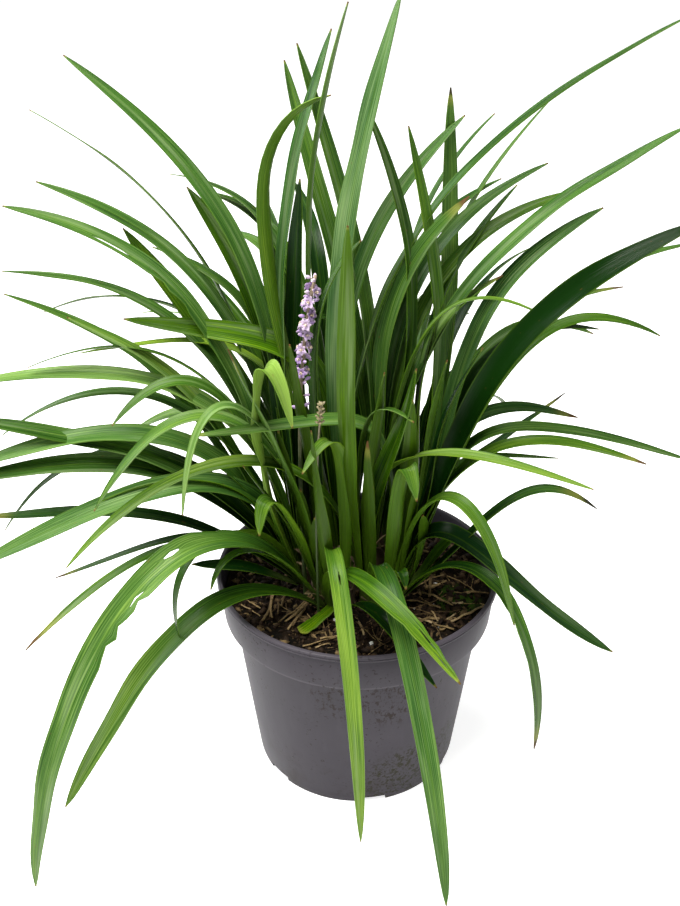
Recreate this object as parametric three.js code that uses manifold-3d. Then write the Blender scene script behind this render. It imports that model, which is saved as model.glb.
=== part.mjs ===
// Liriope (lilyturf) growing in a round nursery pot.
// Units are millimetres, +Z is up, the origin is the middle of the pot's underside, the front faces -Y.
import * as THREE from 'three';
import { mergeGeometries, mergeVertices } from 'three/addons/utils/BufferGeometryUtils.js';
import Module from 'manifold-3d';

const wasm = await Module();
wasm.setup();

// Driving dimensions

const rimRadius = 85;
const potHeight = 133;
const collarHeight = 26;
const collarFootRadius = 81.5;
const shoulderRadius = 75.5;
const footRadius = 62.5;
const potWall = 1.8;
const lipHeight = 3.6;
const lipOverhang = 1.2;
const gutterInner = 41;
const gutterOuter = 59;
const gutterRise = 4;
const drainHoles = 6;
const drainHoleRadius = 4.5;
const notches = 6;
const notchWidth = 16;
const notchRise = 3.5;
const firstNotchDeg = 39;
const potSides = 40;

const touchGap = 0.3;
const soilLevel = potHeight - 12;
const soilRings = 5;
const soilBump = 1.6;
const soilTolerance = 0.1;
const straws = 16;
const perliteGrains = 8;
const litterSeed = 11;
const litterInner = 44;
const litterBand = 30;
const litterLift = 0.4;

const crownRadius = 13;
const crownHalfHeight = 9;
const crownSink = 2.5;
const rootDepth = 1;
const rootSpread = 9;
const riseShare = 0.5;
const fallShare = 0.36;
const bladeThickness = 1.3;
const channelShare = 0.12;
const rootWidthShare = 0.36;
const fullWidthFrom = 0.5;
const taperPower = 6.5;
const tipRounding = 0.8;
const tipWidth = 1.2;
const segmentLength = 68;
const twistRange = 14;
const turnedBy = 0.2;
const leafTolerance = 0.2;
const leafSeed = 7;

// The crowns that the leaf fans grow from, as [x, y] on the soil
const crowns = [
  [0, 4],
  [20, 2],
  [12, -18],
  [-12, -18],
  [-24, 2],
  [-10, 22],
  [14, 22],
];

// Each leaf: [crown, heading, lean, length, tip x, tip y, tip z, dip, width, turn]
// heading and lean are how it leaves the soil, dip is how far below level its tip points and
// turn is how far the blade is turned about its own length, in degrees.
const upperLeftLeaves = [
  [4, 175, 4, 375, -152, 40, 426, -32, 9, -35],
  [5, 165, 18, 330, -178, 60, 393, -25, 7, 15],
  [5, 175, 16, 305, -172, 30, 363, -18, 9, -25],
  [4, 180, 12, 305, -183, 0, 360, -12, 10, -25],
  [4, 170, 10, 310, -203, 50, 304, 6, 11, 0],
  [4, 150, 8, 255, -92, 30, 360, -50, 13, -50],
  [5, 170, 20, 250, -128, 30, 337, -55, 13, -45],
  [5, 150, 14, 215, -106, 80, 303, -30, 9, -30],
  [5, 130, 2, 250, -88, 90, 337, 5, 9, -20],
  [5, 120, 8, 230, -76, 110, 306, 10, 9, -20],
];
const upperCentreLeaves = [
  [0, 180, 6, 220, -15, 4, 415, -12, 10, -45],
  [0, 0, 2, 305, -40, 60, 419, -70, 10, -45],
  [0, 0, 3, 320, -32, 30, 434, -70, 9, -45],
  [4, 180, 4, 330, -15, 30, 441, -62, 10, 10],
  [0, 180, 6, 340, -7, -10, 461, -70, 6, 0],
  [0, 180, 3, 355, 17, -20, 467, -72, 13, 65],
  [4, 180, 3, 260, -31, 0, 374, -85, 12, 60],
  [0, 0, 7, 300, 1, 0, 413, -65, 8, -45],
  [6, 0, 14, 300, 46, 30, 412, -88, 10, -60],
  [1, 0, 9, 285, 24, 10, 398, -75, 8, -45],
  [0, 180, 2, 290, 54, 30, 398, -38, 9, 40],
  [6, 40, 10, 285, 71, 45, 395, -45, 6, 0],
  [2, 215, 8, 260, -7, -62, 372, -88, 10, 0],
];
const upperRightLeaves = [
  [0, 180, 2, 400, 162, 30, 447, -25, 9, 0],
  [6, 40, 8, 300, 102, 60, 398, -45, 6, -20],
  [0, 20, 3, 280, 99, 30, 373, -20, 9, 15],
  [0, 30, 0, 270, 79, 60, 355, -8, 8, 0],
  [0, 0, 4, 255, 55, 0, 365, -45, 11, 45],
  [0, 10, 2, 285, 120, 40, 355, -6, 8, 30],
  [0, 0, 3, 340, 161, 0, 401, -30, 10, 15],
  [1, 0, 13, 265, 124, 0, 359, -30, 11, 40],
  [2, -10, 14, 300, 165, -30, 362, -26, 15, 45],
  [1, 10, 12, 285, 195, 60, 318, 0, 10, -15],
  [1, 0, 16, 245, 163, 0, 287, 30, 8, 20],
  [0, -10, 4, 235, 95, -20, 308, 25, 8, 0],
  [1, 10, 16, 230, 147, 30, 303, 0, 9, 0],
  [1, 0, 8, 215, 75, 0, 322, -30, 8, 20],
  [1, 0, 2, 265, 85, 40, 358, -33, 7, 0],
];
const rightLeaves = [
  [1, 10, 4, 215, 130, 30, 220, 25, 9, 10],
  [6, 20, 25, 160, 125, 50, 226, -40, 9, -15],
  [1, 0, 5, 275, 190, 0, 209, 18, 10, 0],
  [2, -10, 10, 235, 157, -30, 224, 22, 9, 0],
  [6, 10, 20, 175, 121, 30, 192, 5, 8, 0],
  [0, 262, 10, 258, 120, -70, 233, 12, 8, 10],
  [2, -10, 40, 165, 133, -30, 195, 40, 9, 0],
  [2, -20, 8, 240, 145, -60, 117, 25, 13, 12],
  [2, -30, 26, 230, 100, -90, 71, 95, 9, 0],
  [2, -40, 6, 252, 84, -80, 152, 75, 9, 10],
  [2, 200, 3, 190, 27, -60, 297, -78, 11, 55],
  [2, 200, 4, 160, 27, -60, 267, 10, 6, 0],
  [2, -70, 12, 150, 30, -60, 219, 70, 11, 15],
  [1, -40, 40, 62, 59, -15, 169, -35, 8, 30],
];
const frontLeaves = [
  [3, 255, 11, 304, 1, -130, 40, 88, 9, 0],
  [2, 252, 10, 272, 47, -158, 22, 80, 11, 0],
  [3, 250, 22, 180, 51, -126, 151, 38, 10, 10],
  [3, 290, 38, 115, 42, -97, 123, 35, 9, 0],
  [2, 285, 20, 70, 26, -60, 161, 75, 7, 0],
];
const middleLeaves = [
  [3, 200, 2, 210, -36, -38, 300, -80, 9, 10],
  [3, 225, 8, 200, -66, -52, 304, -70, 10, -20],
  [3, 200, 4, 90, -24, -40, 196, -85, 9, 0],
  [3, 180, 6, 110, -32, -38, 213, -80, 9, 0],
  [2, 250, 3, 140, 4, -48, 249, -85, 6, 0],
  [2, 0, 4, 190, 27, -42, 270, -78, 10, 30],
  [2, -20, 10, 230, 44, -40, 292, -68, 10, 30],
  [2, -10, 14, 240, 62, -38, 298, -60, 10, 40],
  [2, -30, 10, 110, 31, -48, 225, -62, 9, 20],
  [2, -20, 28, 75, 35, -38, 196, -50, 7, 20],
  [3, 190, 8, 170, -43, -42, 252, -75, 9, -10],
  [3, 200, 14, 150, -62, -45, 232, -60, 9, -20],
  [2, 235, 3, 190, 12, -42, 286, -80, 8, 10],
  [3, 262, 25, 150, -25, -60, 262, -85, 9, 0],
];
const leftLeaves = [
  [3, 215, 42, 225, -161, -125, 62, 55, 13, -10],
  [3, 215, 24, 375, -178, -145, 22, 84, 15, -20],
  [4, 190, 35, 185, -190, -60, 118, 40, 7, 0],
  [4, 215, 18, 200, -98, -80, 142, 105, 8, 30],
  [2, 190, 3, 280, -160, -60, 176, 50, 9, -10],
  [4, 190, 8, 255, -218, -45, 165, 22, 13, -35],
  [4, 185, 45, 200, -215, -15, 180, 0, 10, 0],
  [4, 180, 40, 165, -184, 0, 125, 20, 8, 0],
  [3, 200, 4, 290, -141, -60, 213, 60, 9, -10],
  [3, 200, 6, 300, -92, -75, 220, 84, 6, -20],
  [4, 180, 12, 270, -206, 10, 219, 40, 10, 0],
  [4, 180, 4, 290, -222, 0, 257, 12, 12, -15],
  [4, 170, 28, 270, -195, 20, 303, -18, 9, -5],
  [4, 180, 22, 235, -157, 0, 298, -25, 9, -20],
  [5, 180, 5, 300, -157, 20, 267, 12, 8, 0],
  [0, 180, 3, 340, -127, 0, 297, -8, 14, -60],
  [4, 175, 8, 260, -182, 0, 268, 25, 6, 20],
  [3, 200, 1, 270, -1, -60, 364, -40, 10, 45],
  [4, 215, 25, 247, -34, -70, 269, 75, 15, 0],
  [4, 180, 14, 260, -222, -20, 214, 20, 12, -25],
  [3, 200, 10, 140, -54, -60, 197, 88, 11, 0],
  [4, 215, 25, 95, -82, -60, 161, 70, 5, 0],
  [4, 190, 8, 225, -133, -30, 248, 50, 8, -20],
  [4, 185, 28, 240, -222, -20, 208, 8, 14, -30],
  [4, 185, 26, 245, -222, -15, 246, -16, 12, -30],
  [4, 180, 22, 260, -210, 0, 160, 58, 6, 0],
  [4, 190, 15, 250, -203, -30, 165, 28, 8, 20],
  [4, 200, 55, 90, -98, -15, 146, 0, 9, 0],
  [2, 0, 0, 310, -87, -60, 259, -5, 9, -20],
  [3, 292, 5, 162, -30, -68, 241, 40, 8, 0],
];

// Leaves of the back and the middle, drawn by a seeded rule:
// [heading from, heading to, count, reach, tip height]
const fillSectors = [
  [15, 165, 9, 140, 310],
  [20, 160, 7, 185, 230],
  [30, 150, 4, 190, 156],
  [60, 200, 2, 50, 320],
];
const fillTurn = 30;
const fillSeed = 20;

// Flower spikes: [foot, first bend, second bend, top] of the stalk, then where its florets start
const mainStalk = [
  [-31, -15, soilLevel - 6],
  [-32, -20, 190],
  [-37, -22, 270],
  [-23, -20, 330],
];
const stalkSides = 6;
const stalkSteps = 10;
const stalkTolerance = 0.02;
const mainStalkRadius = 1.3;
const whorlTurn = 2.4;
const floretFrom = 0.62;
const floretWhorls = 12;
const closedWhorls = 3;
const mainBud = [4.6, 2.6];
const floretTilt = 2.5;
const floretTiltGain = 25;
const petals = 6;
const petalReach = 3.2;
const notchReach = 1.5;
const petalRise = 0.8;
const neckRadius = 0.9;
const floretDepth = 4.2;
const throatShare = 0.55;
const youngStalk = [
  [-23, -33, soilLevel - 6],
  [-24, -42, 190],
  [-24, -49, 230],
  [-20, -48, 272],
];
const youngStalkRadius = 1.1;
const youngBud = [3.4, 2.2];
const youngTilt = 30;
const budFrom = 0.88;
const budWhorls = 4;
const lastWhorl = 0.985;

// Small tools

// A small seeded random generator, so that every build draws the same numbers
function seededRandom(seed) {
  let state = seed;
  return () => {
    state = (state * 16807) % 2147483647;
    return state / 2147483647;
  };
}

function radians(degrees) {
  return (degrees * Math.PI) / 180;
}

function smoothStep(from, to, value) {
  const share = Math.min(Math.max((value - from) / (to - from), 0), 1);
  return share * share * (3 - 2 * share);
}

function toSolid(geometry) {
  const bare = geometry.clone();
  bare.deleteAttribute('normal');
  bare.deleteAttribute('uv');
  const merged = mergeVertices(bare, 1e-3);
  const vertProperties = new Float32Array(merged.attributes.position.array);
  const triVerts = new Uint32Array(merged.index.array);
  return new wasm.Manifold(new wasm.Mesh({ numProp: 3, vertProperties, triVerts }));
}

function toGeometry(solid) {
  const { vertProperties, triVerts } = solid.getMesh();
  const geometry = new THREE.BufferGeometry();
  geometry.setAttribute('position', new THREE.BufferAttribute(vertProperties, 3));
  geometry.setIndex(new THREE.BufferAttribute(triVerts, 1));
  const faceted = geometry.toNonIndexed();
  faceted.computeVertexNormals();
  return faceted;
}

function joined(solids) {
  return solids.reduce((sum, solid) => sum.add(solid));
}

// Joining crossing blades can close off small hollows: only the outer skin is kept
function outerSkin(solid) {
  const shells = solid.decompose();
  return shells.reduce((best, shell) => (shell.volume() > best.volume() ? shell : best));
}

function piece(name, solid, color, roughness) {
  const material = new THREE.MeshStandardMaterial({ color, roughness, metalness: 0 });
  const mesh = new THREE.Mesh(toGeometry(solid), material);
  mesh.name = name;
  return mesh;
}

// A LatheGeometry turns about Y: stand it up along Z
function turned(points, sides) {
  const profile = points.map(([radius, height]) => new THREE.Vector2(radius, height));
  const lathe = new THREE.LatheGeometry(profile, sides);
  lathe.rotateX(Math.PI / 2);
  return lathe;
}

// Pot

const stepHeight = potHeight - collarHeight;
const floorHeight = gutterRise + potWall;
const collarTopRadius = rimRadius - lipOverhang;
const wallSlope = (shoulderRadius - footRadius) / stepHeight;

function buildPot() {
  const lipFoot = potHeight - lipHeight;
  const outside = [
    [0, 0],
    [gutterInner, 0],
    [gutterInner + 1, gutterRise],
    [gutterOuter - 1, gutterRise],
    [gutterOuter, 0],
    [footRadius - 0.5, 0],
    [footRadius, 1],
    [shoulderRadius, stepHeight],
    [collarFootRadius - 0.5, stepHeight],
    [collarFootRadius, stepHeight + 0.8],
    [collarTopRadius, lipFoot],
    [rimRadius, lipFoot + 0.5],
    [rimRadius, potHeight - 0.9],
    [rimRadius - 0.7, potHeight],
  ];
  const inside = [
    [collarTopRadius - potWall + 0.4, potHeight],
    [collarTopRadius - potWall, potHeight - 1],
    [collarFootRadius - potWall, stepHeight + potWall],
    [shoulderRadius - potWall, stepHeight + potWall],
    [footRadius + wallSlope * floorHeight - potWall, floorHeight],
    [gutterInner - 1, floorHeight],
    [gutterInner - 2, potWall],
    [0, potWall],
  ];
  let pot = toSolid(turned([...outside, ...inside], potSides));
  for (let i = 0; i < drainHoles; i += 1) {
    const angle = (i / drainHoles) * 2 * Math.PI;
    const hole = new THREE.CylinderGeometry(drainHoleRadius, drainHoleRadius, 3 * floorHeight, 8);
    hole.rotateX(Math.PI / 2);
    hole.translate((gutterInner + gutterOuter) / 2, 0, floorHeight);
    hole.rotateZ(angle);
    pot = pot.subtract(toSolid(hole));
  }
  for (let i = 0; i < notches; i += 1) {
    const notch = new THREE.BoxGeometry(footRadius / 2, notchWidth, 2 * notchRise);
    notch.translate(gutterOuter - 3 + footRadius / 4, 0, 0);
    notch.rotateZ(radians(firstNotchDeg + (i * 360) / notches));
    pot = pot.subtract(toSolid(notch));
  }
  return pot;
}

// Leaves

// The middle line of a leaf: it rises from its crown, arches and ends at the tip
function leafSpine([crown, heading, lean, length, tipX, tipY, tipZ, dip]) {
  const [crownX, crownY] = crowns[crown];
  const out = new THREE.Vector3(Math.cos(radians(heading)), Math.sin(radians(heading)), 0);
  const root = new THREE.Vector3(crownX, crownY, soilLevel - rootDepth);
  root.addScaledVector(out, rootSpread);
  const tip = new THREE.Vector3(tipX, tipY, tipZ);
  const rise = out.clone().multiplyScalar(Math.sin(radians(lean)));
  rise.z = Math.cos(radians(lean));
  const firstBend = root.clone().addScaledVector(rise, riseShare * length);
  const fall = tip.clone().sub(firstBend).setZ(0).normalize();
  const across = new THREE.Vector3(-fall.y, fall.x, 0);
  fall.multiplyScalar(Math.cos(radians(dip)));
  fall.z = -Math.sin(radians(dip));
  const lastBend = tip.clone().addScaledVector(fall, -fallShare * length);
  const rootAcross = new THREE.Vector3(-out.y, out.x, 0);
  if (rootAcross.dot(across) < 0) {
    rootAcross.negate();
  }
  return { curve: new THREE.CubicBezierCurve3(root, firstBend, lastBend, tip), rootAcross, across };
}

function widthShare(along) {
  const swell = rootWidthShare + (1 - rootWidthShare) * smoothStep(0, fullWidthFrom, along);
  return swell * (1 - along ** taperPower) ** tipRounding;
}

// Both faces of a blade are one sheet, shared at its rim, thick along the middle and channelled on top
function buildBlade(leaf, twist) {
  const { curve, rootAcross, across } = leafSpine(leaf);
  const width = leaf[8];
  const turn = leaf[9];
  const rows = Math.max(4, Math.round(leaf[3] / segmentLength));
  const faces = [1, -1].map((side) => {
    const sheet = new THREE.PlaneGeometry(1, 1, 2, rows);
    const place = sheet.attributes.position;
    for (let i = 0; i < place.count; i += 1) {
      const along = 0.5 - place.getY(i);
      const sideways = place.getX(i);
      const middle = 1 - Math.abs(2 * sideways);
      const tangent = curve.getTangent(along);
      const flat = rootAcross.clone().lerp(across, along);
      flat.addScaledVector(tangent, -flat.dot(tangent)).normalize();
      flat.applyAxisAngle(tangent, radians(turn * smoothStep(0, turnedBy, along) + twist * along));
      const normal = tangent.clone().cross(flat);
      const bladeWidth = Math.max(width * widthShare(along), tipWidth);
      const isEnd = along < 0.001 || along > 0.999;
      const thickness = isEnd ? 0 : bladeThickness;
      const lift = middle * ((side * thickness) / 2 - channelShare * bladeWidth);
      const point = curve.getPoint(along);
      point.addScaledVector(flat, sideways * bladeWidth);
      point.addScaledVector(normal, lift);
      place.setXYZ(i, point.x, point.y, point.z);
    }
    if (side < 0) {
      sheet.index.array.reverse();
    }
    return sheet;
  });
  return toSolid(mergeGeometries(faces));
}

// The crown that lies furthest out in a direction, or the one after it
function outermostCrown(heading, place) {
  const reachOf = ([x, y]) => x * Math.cos(radians(heading)) + y * Math.sin(radians(heading));
  const order = crowns.map((crown, index) => [reachOf(crown), index]);
  order.sort((a, b) => b[0] - a[0]);
  return order[place][1];
}

// The seeded leaves of the back and the middle, in the same form as the listed ones
function fillLeaves() {
  const random = seededRandom(fillSeed);
  const leaves = [];
  for (const [from, to, count, reach, height] of fillSectors) {
    for (let i = 0; i < count; i += 1) {
      const heading = Math.round(from + ((to - from) * (i + random())) / count);
      const distance = reach * (0.8 + 0.35 * random());
      const tipZ = Math.round(height * (0.85 + 0.3 * random()));
      const crown = outermostCrown(heading, random() < 0.5 ? 0 : 1);
      const tipX = Math.round(distance * Math.cos(radians(heading)));
      const tipY = Math.round(distance * Math.sin(radians(heading)));
      const chord = Math.hypot(distance, tipZ - soilLevel);
      const length = Math.round(chord * (1.02 + 0.1 * random()) + 10);
      const dip = Math.round(55 - 0.3 * (tipZ - soilLevel) + 20 * random());
      const width = Math.round(8 + 4 * random());
      const lean = 6 + Math.round(8 * random());
      const turn = Math.round(fillTurn * (2 * random() - 1));
      leaves.push([crown, heading, lean, length, tipX, tipY, tipZ, dip, width, turn]);
    }
  }
  return leaves;
}

function buildCrown([x, y], margin) {
  const ball = new THREE.SphereGeometry(crownRadius + margin, 8, 5);
  ball.rotateX(Math.PI / 2);
  ball.scale(1, 1, (crownHalfHeight + margin) / (crownRadius + margin));
  ball.translate(x, y, soilLevel - crownSink);
  return toSolid(ball);
}

function buildLeaves() {
  const random = seededRandom(leafSeed);
  const leaves = [
    ...upperLeftLeaves,
    ...upperCentreLeaves,
    ...upperRightLeaves,
    ...rightLeaves,
    ...frontLeaves,
    ...leftLeaves,
    ...middleLeaves,
    ...fillLeaves(),
  ];
  const blades = leaves.map((leaf) => buildBlade(leaf, twistRange * (2 * random() - 1)));
  const heart = joined(crowns.map((crown) => buildCrown(crown, 0)));
  return outerSkin(joined([heart, ...blades]).simplify(leafTolerance));
}

// Flower spikes

function stalkCurve(points) {
  return new THREE.CubicBezierCurve3(...points.map((point) => new THREE.Vector3(...point)));
}

function buildStalk(curve, radius) {
  const outline = new THREE.Shape();
  for (let i = 0; i < stalkSides; i += 1) {
    const angle = (i / stalkSides) * 2 * Math.PI;
    const corner = [radius * Math.cos(angle), radius * Math.sin(angle)];
    if (i === 0) {
      outline.moveTo(...corner);
    } else {
      outline.lineTo(...corner);
    }
  }
  return toSolid(new THREE.ExtrudeGeometry(outline, { steps: stalkSteps, extrudePath: curve }));
}

// An eight-faced bud, its inner end at the origin, pointing along +X
function buildBud([length, width]) {
  const bud = new THREE.OctahedronGeometry(0.5);
  bud.scale(length, width, width);
  bud.translate(length / 2, 0, 0);
  return toSolid(bud);
}

// One floret, facing +X: a star of petals that opens from a narrow neck, hollowed at its middle
function buildFloret() {
  const star = new THREE.SphereGeometry(1, 2 * petals, 3);
  star.rotateZ(-Math.PI / 2);
  const place = star.attributes.position;
  for (let i = 0; i < place.count; i += 1) {
    const side = Math.hypot(place.getY(i), place.getZ(i));
    const angle = Math.atan2(place.getZ(i), place.getY(i));
    const isFront = place.getX(i) > 0;
    if (side < 0.01) {
      place.setXYZ(i, isFront ? floretDepth - petalRise : 0, 0, 0);
      continue;
    }
    const isPetal = Math.cos(petals * angle) > 0;
    const spread = isPetal ? petalReach : notchReach;
    const radius = isFront ? spread : neckRadius;
    const frontDepth = floretDepth + (isPetal ? petalRise : 0);
    const depth = isFront ? frontDepth : throatShare * floretDepth;
    place.setXYZ(i, depth, radius * Math.cos(angle), radius * Math.sin(angle));
  }
  return toSolid(star);
}

function atStalk(solid, curve, along, turn, tilt) {
  const point = curve.getPoint(along);
  const place = new THREE.Matrix4().makeTranslation(point);
  place.multiply(new THREE.Matrix4().makeRotationZ(turn));
  place.multiply(new THREE.Matrix4().makeRotationY(-tilt));
  return solid.transform(place.elements);
}

function buildMainSpike() {
  const curve = stalkCurve(mainStalk);
  const parts = [buildStalk(curve, mainStalkRadius)];
  const floret = buildFloret();
  const bud = buildBud(mainBud);
  for (let i = 0; i < floretWhorls; i += 1) {
    const along = floretFrom + ((lastWhorl - floretFrom) * i) / (floretWhorls - 1);
    const isOpen = i >= closedWhorls && i < floretWhorls - 1;
    const tilt = radians(floretTilt + floretTiltGain * along);
    for (let side = 0; side < 2; side += 1) {
      const turn = i * whorlTurn + side * Math.PI;
      parts.push(atStalk(isOpen ? floret : bud, curve, along, turn, tilt));
    }
  }
  return outerSkin(joined(parts).simplify(stalkTolerance));
}

function buildYoungSpike() {
  const curve = stalkCurve(youngStalk);
  const parts = [buildStalk(curve, youngStalkRadius)];
  const bud = buildBud(youngBud);
  for (let i = 0; i < budWhorls; i += 1) {
    const along = budFrom + ((lastWhorl - budFrom) * i) / (budWhorls - 1);
    for (let side = 0; side < 2; side += 1) {
      const turn = i * whorlTurn + side * Math.PI;
      parts.push(atStalk(bud, curve, along, turn, radians(youngTilt)));
    }
  }
  return outerSkin(joined(parts).simplify(stalkTolerance));
}

// Soil

function soilHeight(x, y) {
  const broad = Math.sin(0.11 * x + 0.05 * y) * Math.cos(0.09 * y - 0.04 * x);
  const fine = Math.sin(0.43 * x + 0.5) * Math.sin(0.37 * y + 1.1);
  return soilLevel + soilBump * (broad + 0.5 * fine);
}

function buildSoilBody() {
  const wallGap = touchGap + potWall;
  const topRadius = collarFootRadius - wallGap + 0.8;
  const profile = [
    [0, potWall + touchGap],
    [gutterInner - 2 - touchGap, potWall + touchGap],
    [gutterInner - 1 - touchGap, floorHeight + touchGap],
    [footRadius + wallSlope * floorHeight - wallGap, floorHeight + touchGap],
    [shoulderRadius - wallGap, stepHeight + potWall + touchGap],
    [collarFootRadius - wallGap, stepHeight + potWall + touchGap],
    [topRadius, soilLevel],
  ];
  for (let ring = soilRings - 1; ring >= 0; ring -= 1) {
    profile.push([(topRadius * ring) / soilRings, soilLevel]);
  }
  const body = turned(profile, potSides);
  const place = body.attributes.position;
  for (let i = 0; i < place.count; i += 1) {
    const radius = Math.hypot(place.getX(i), place.getY(i));
    if (place.getZ(i) > soilLevel - 0.001 && radius < topRadius - 1) {
      place.setZ(i, soilHeight(place.getX(i), place.getY(i)));
    }
  }
  return toSolid(body);
}

// Straw and perlite that lie half sunk in the surface
function buildLitter() {
  const random = seededRandom(litterSeed);
  const litter = [];
  for (let i = 0; i < straws + perliteGrains; i += 1) {
    const isStraw = i < straws;
    const radius = litterInner + litterBand * random();
    const angle = 2 * Math.PI * random();
    const size = random();
    const shape = isStraw
      ? new THREE.CylinderGeometry(0.7 + 0.6 * size, 0.6 + 0.4 * size, 10 + 16 * size, 5)
      : new THREE.IcosahedronGeometry(1.4 + 0.8 * size, 0);
    shape.rotateX(radians(isStraw ? 6 : 20));
    shape.rotateZ(2 * Math.PI * random());
    const x = radius * Math.cos(angle);
    const y = radius * Math.sin(angle);
    shape.translate(x, y, soilHeight(x, y) + litterLift);
    litter.push(toSolid(shape));
  }
  return litter;
}

function buildSoil() {
  const wall = toSolid(turned([
    [0, soilLevel - 8],
    [collarFootRadius - potWall - touchGap, soilLevel - 8],
    [collarFootRadius - potWall - touchGap, soilLevel + 8],
    [0, soilLevel + 8],
  ], potSides));
  const litter = joined(buildLitter()).intersect(wall);
  const pockets = joined(crowns.map((crown) => buildCrown(crown, touchGap)));
  const stalkHoles = [
    buildStalk(stalkCurve(mainStalk), mainStalkRadius + touchGap),
    buildStalk(stalkCurve(youngStalk), youngStalkRadius + touchGap),
  ];
  const soil = buildSoilBody().add(litter).subtract(pockets).subtract(joined(stalkHoles));
  return outerSkin(soil.simplify(soilTolerance));
}

// Assembly

const plant = new THREE.Group();
plant.add(piece('pot', buildPot(), 0x6a666c, 0.55));
plant.add(piece('soil', buildSoil(), 0x3a2a1c, 0.95));
plant.add(piece('leaves', buildLeaves(), 0x4c8c22, 0.4));
plant.add(piece('flower_spike_main', buildMainSpike(), 0xc3a2d8, 0.6));
plant.add(piece('flower_spike_young', buildYoungSpike(), 0xc9cf8a, 0.6));

export default plant;
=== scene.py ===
import math

import bmesh
import bpy
from mathutils import Matrix, Vector, noise


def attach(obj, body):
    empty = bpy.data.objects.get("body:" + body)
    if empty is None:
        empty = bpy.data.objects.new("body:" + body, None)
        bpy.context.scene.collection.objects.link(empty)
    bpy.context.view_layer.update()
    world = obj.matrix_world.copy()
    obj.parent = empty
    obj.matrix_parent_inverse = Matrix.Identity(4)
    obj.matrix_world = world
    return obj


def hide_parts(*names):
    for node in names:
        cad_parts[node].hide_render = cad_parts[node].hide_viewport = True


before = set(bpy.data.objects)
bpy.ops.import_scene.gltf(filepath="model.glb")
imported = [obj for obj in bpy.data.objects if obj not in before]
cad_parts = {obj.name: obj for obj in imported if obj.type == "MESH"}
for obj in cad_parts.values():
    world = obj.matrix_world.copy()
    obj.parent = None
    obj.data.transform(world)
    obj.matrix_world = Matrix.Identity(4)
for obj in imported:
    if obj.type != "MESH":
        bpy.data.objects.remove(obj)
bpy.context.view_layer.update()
print("frame loaded")

# Shapes are worked in millimetres and brought to metres when a piece is finished.
mm = 0.001


def seededRandom(seed):
    state = seed

    def draw():
        nonlocal state
        state = (state * 16807) % 2147483647
        return state / 2147483647

    return draw


def nearest(value):
    return math.floor(value + 0.5)


def smoothStep(low, high, value):
    share = min(max((value - low) / (high - low), 0), 1)
    return share * share * (3 - 2 * share)


def drawn(draw, low, spread, power=1):
    # from low to low + spread; a higher power favours the low end
    return low + spread * draw() ** power


def aimed(angle, tilt=0):
    # unit vector at an angle round Z, tilted up
    level = math.cos(tilt)
    return Vector((math.cos(angle) * level, math.sin(angle) * level, math.sin(tilt)))


# ---- materials ----


def mathOperator(operation, swapped=False):
    def apply(wire, other):
        first, second = (other, wire) if swapped else (wire, other)
        return wire.kit.node("Math", {"operation": operation}, {0: first, 1: second})

    return apply


class Wire:
    # one output socket of a node tree, so that sums are written as sums
    def __init__(self, kit, socket):
        self.kit = kit
        self.socket = socket

    __add__ = __radd__ = mathOperator("ADD")
    __mul__ = __rmul__ = mathOperator("MULTIPLY")
    __sub__ = mathOperator("SUBTRACT")
    __rsub__ = mathOperator("SUBTRACT", True)
    __pow__ = mathOperator("POWER")


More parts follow.
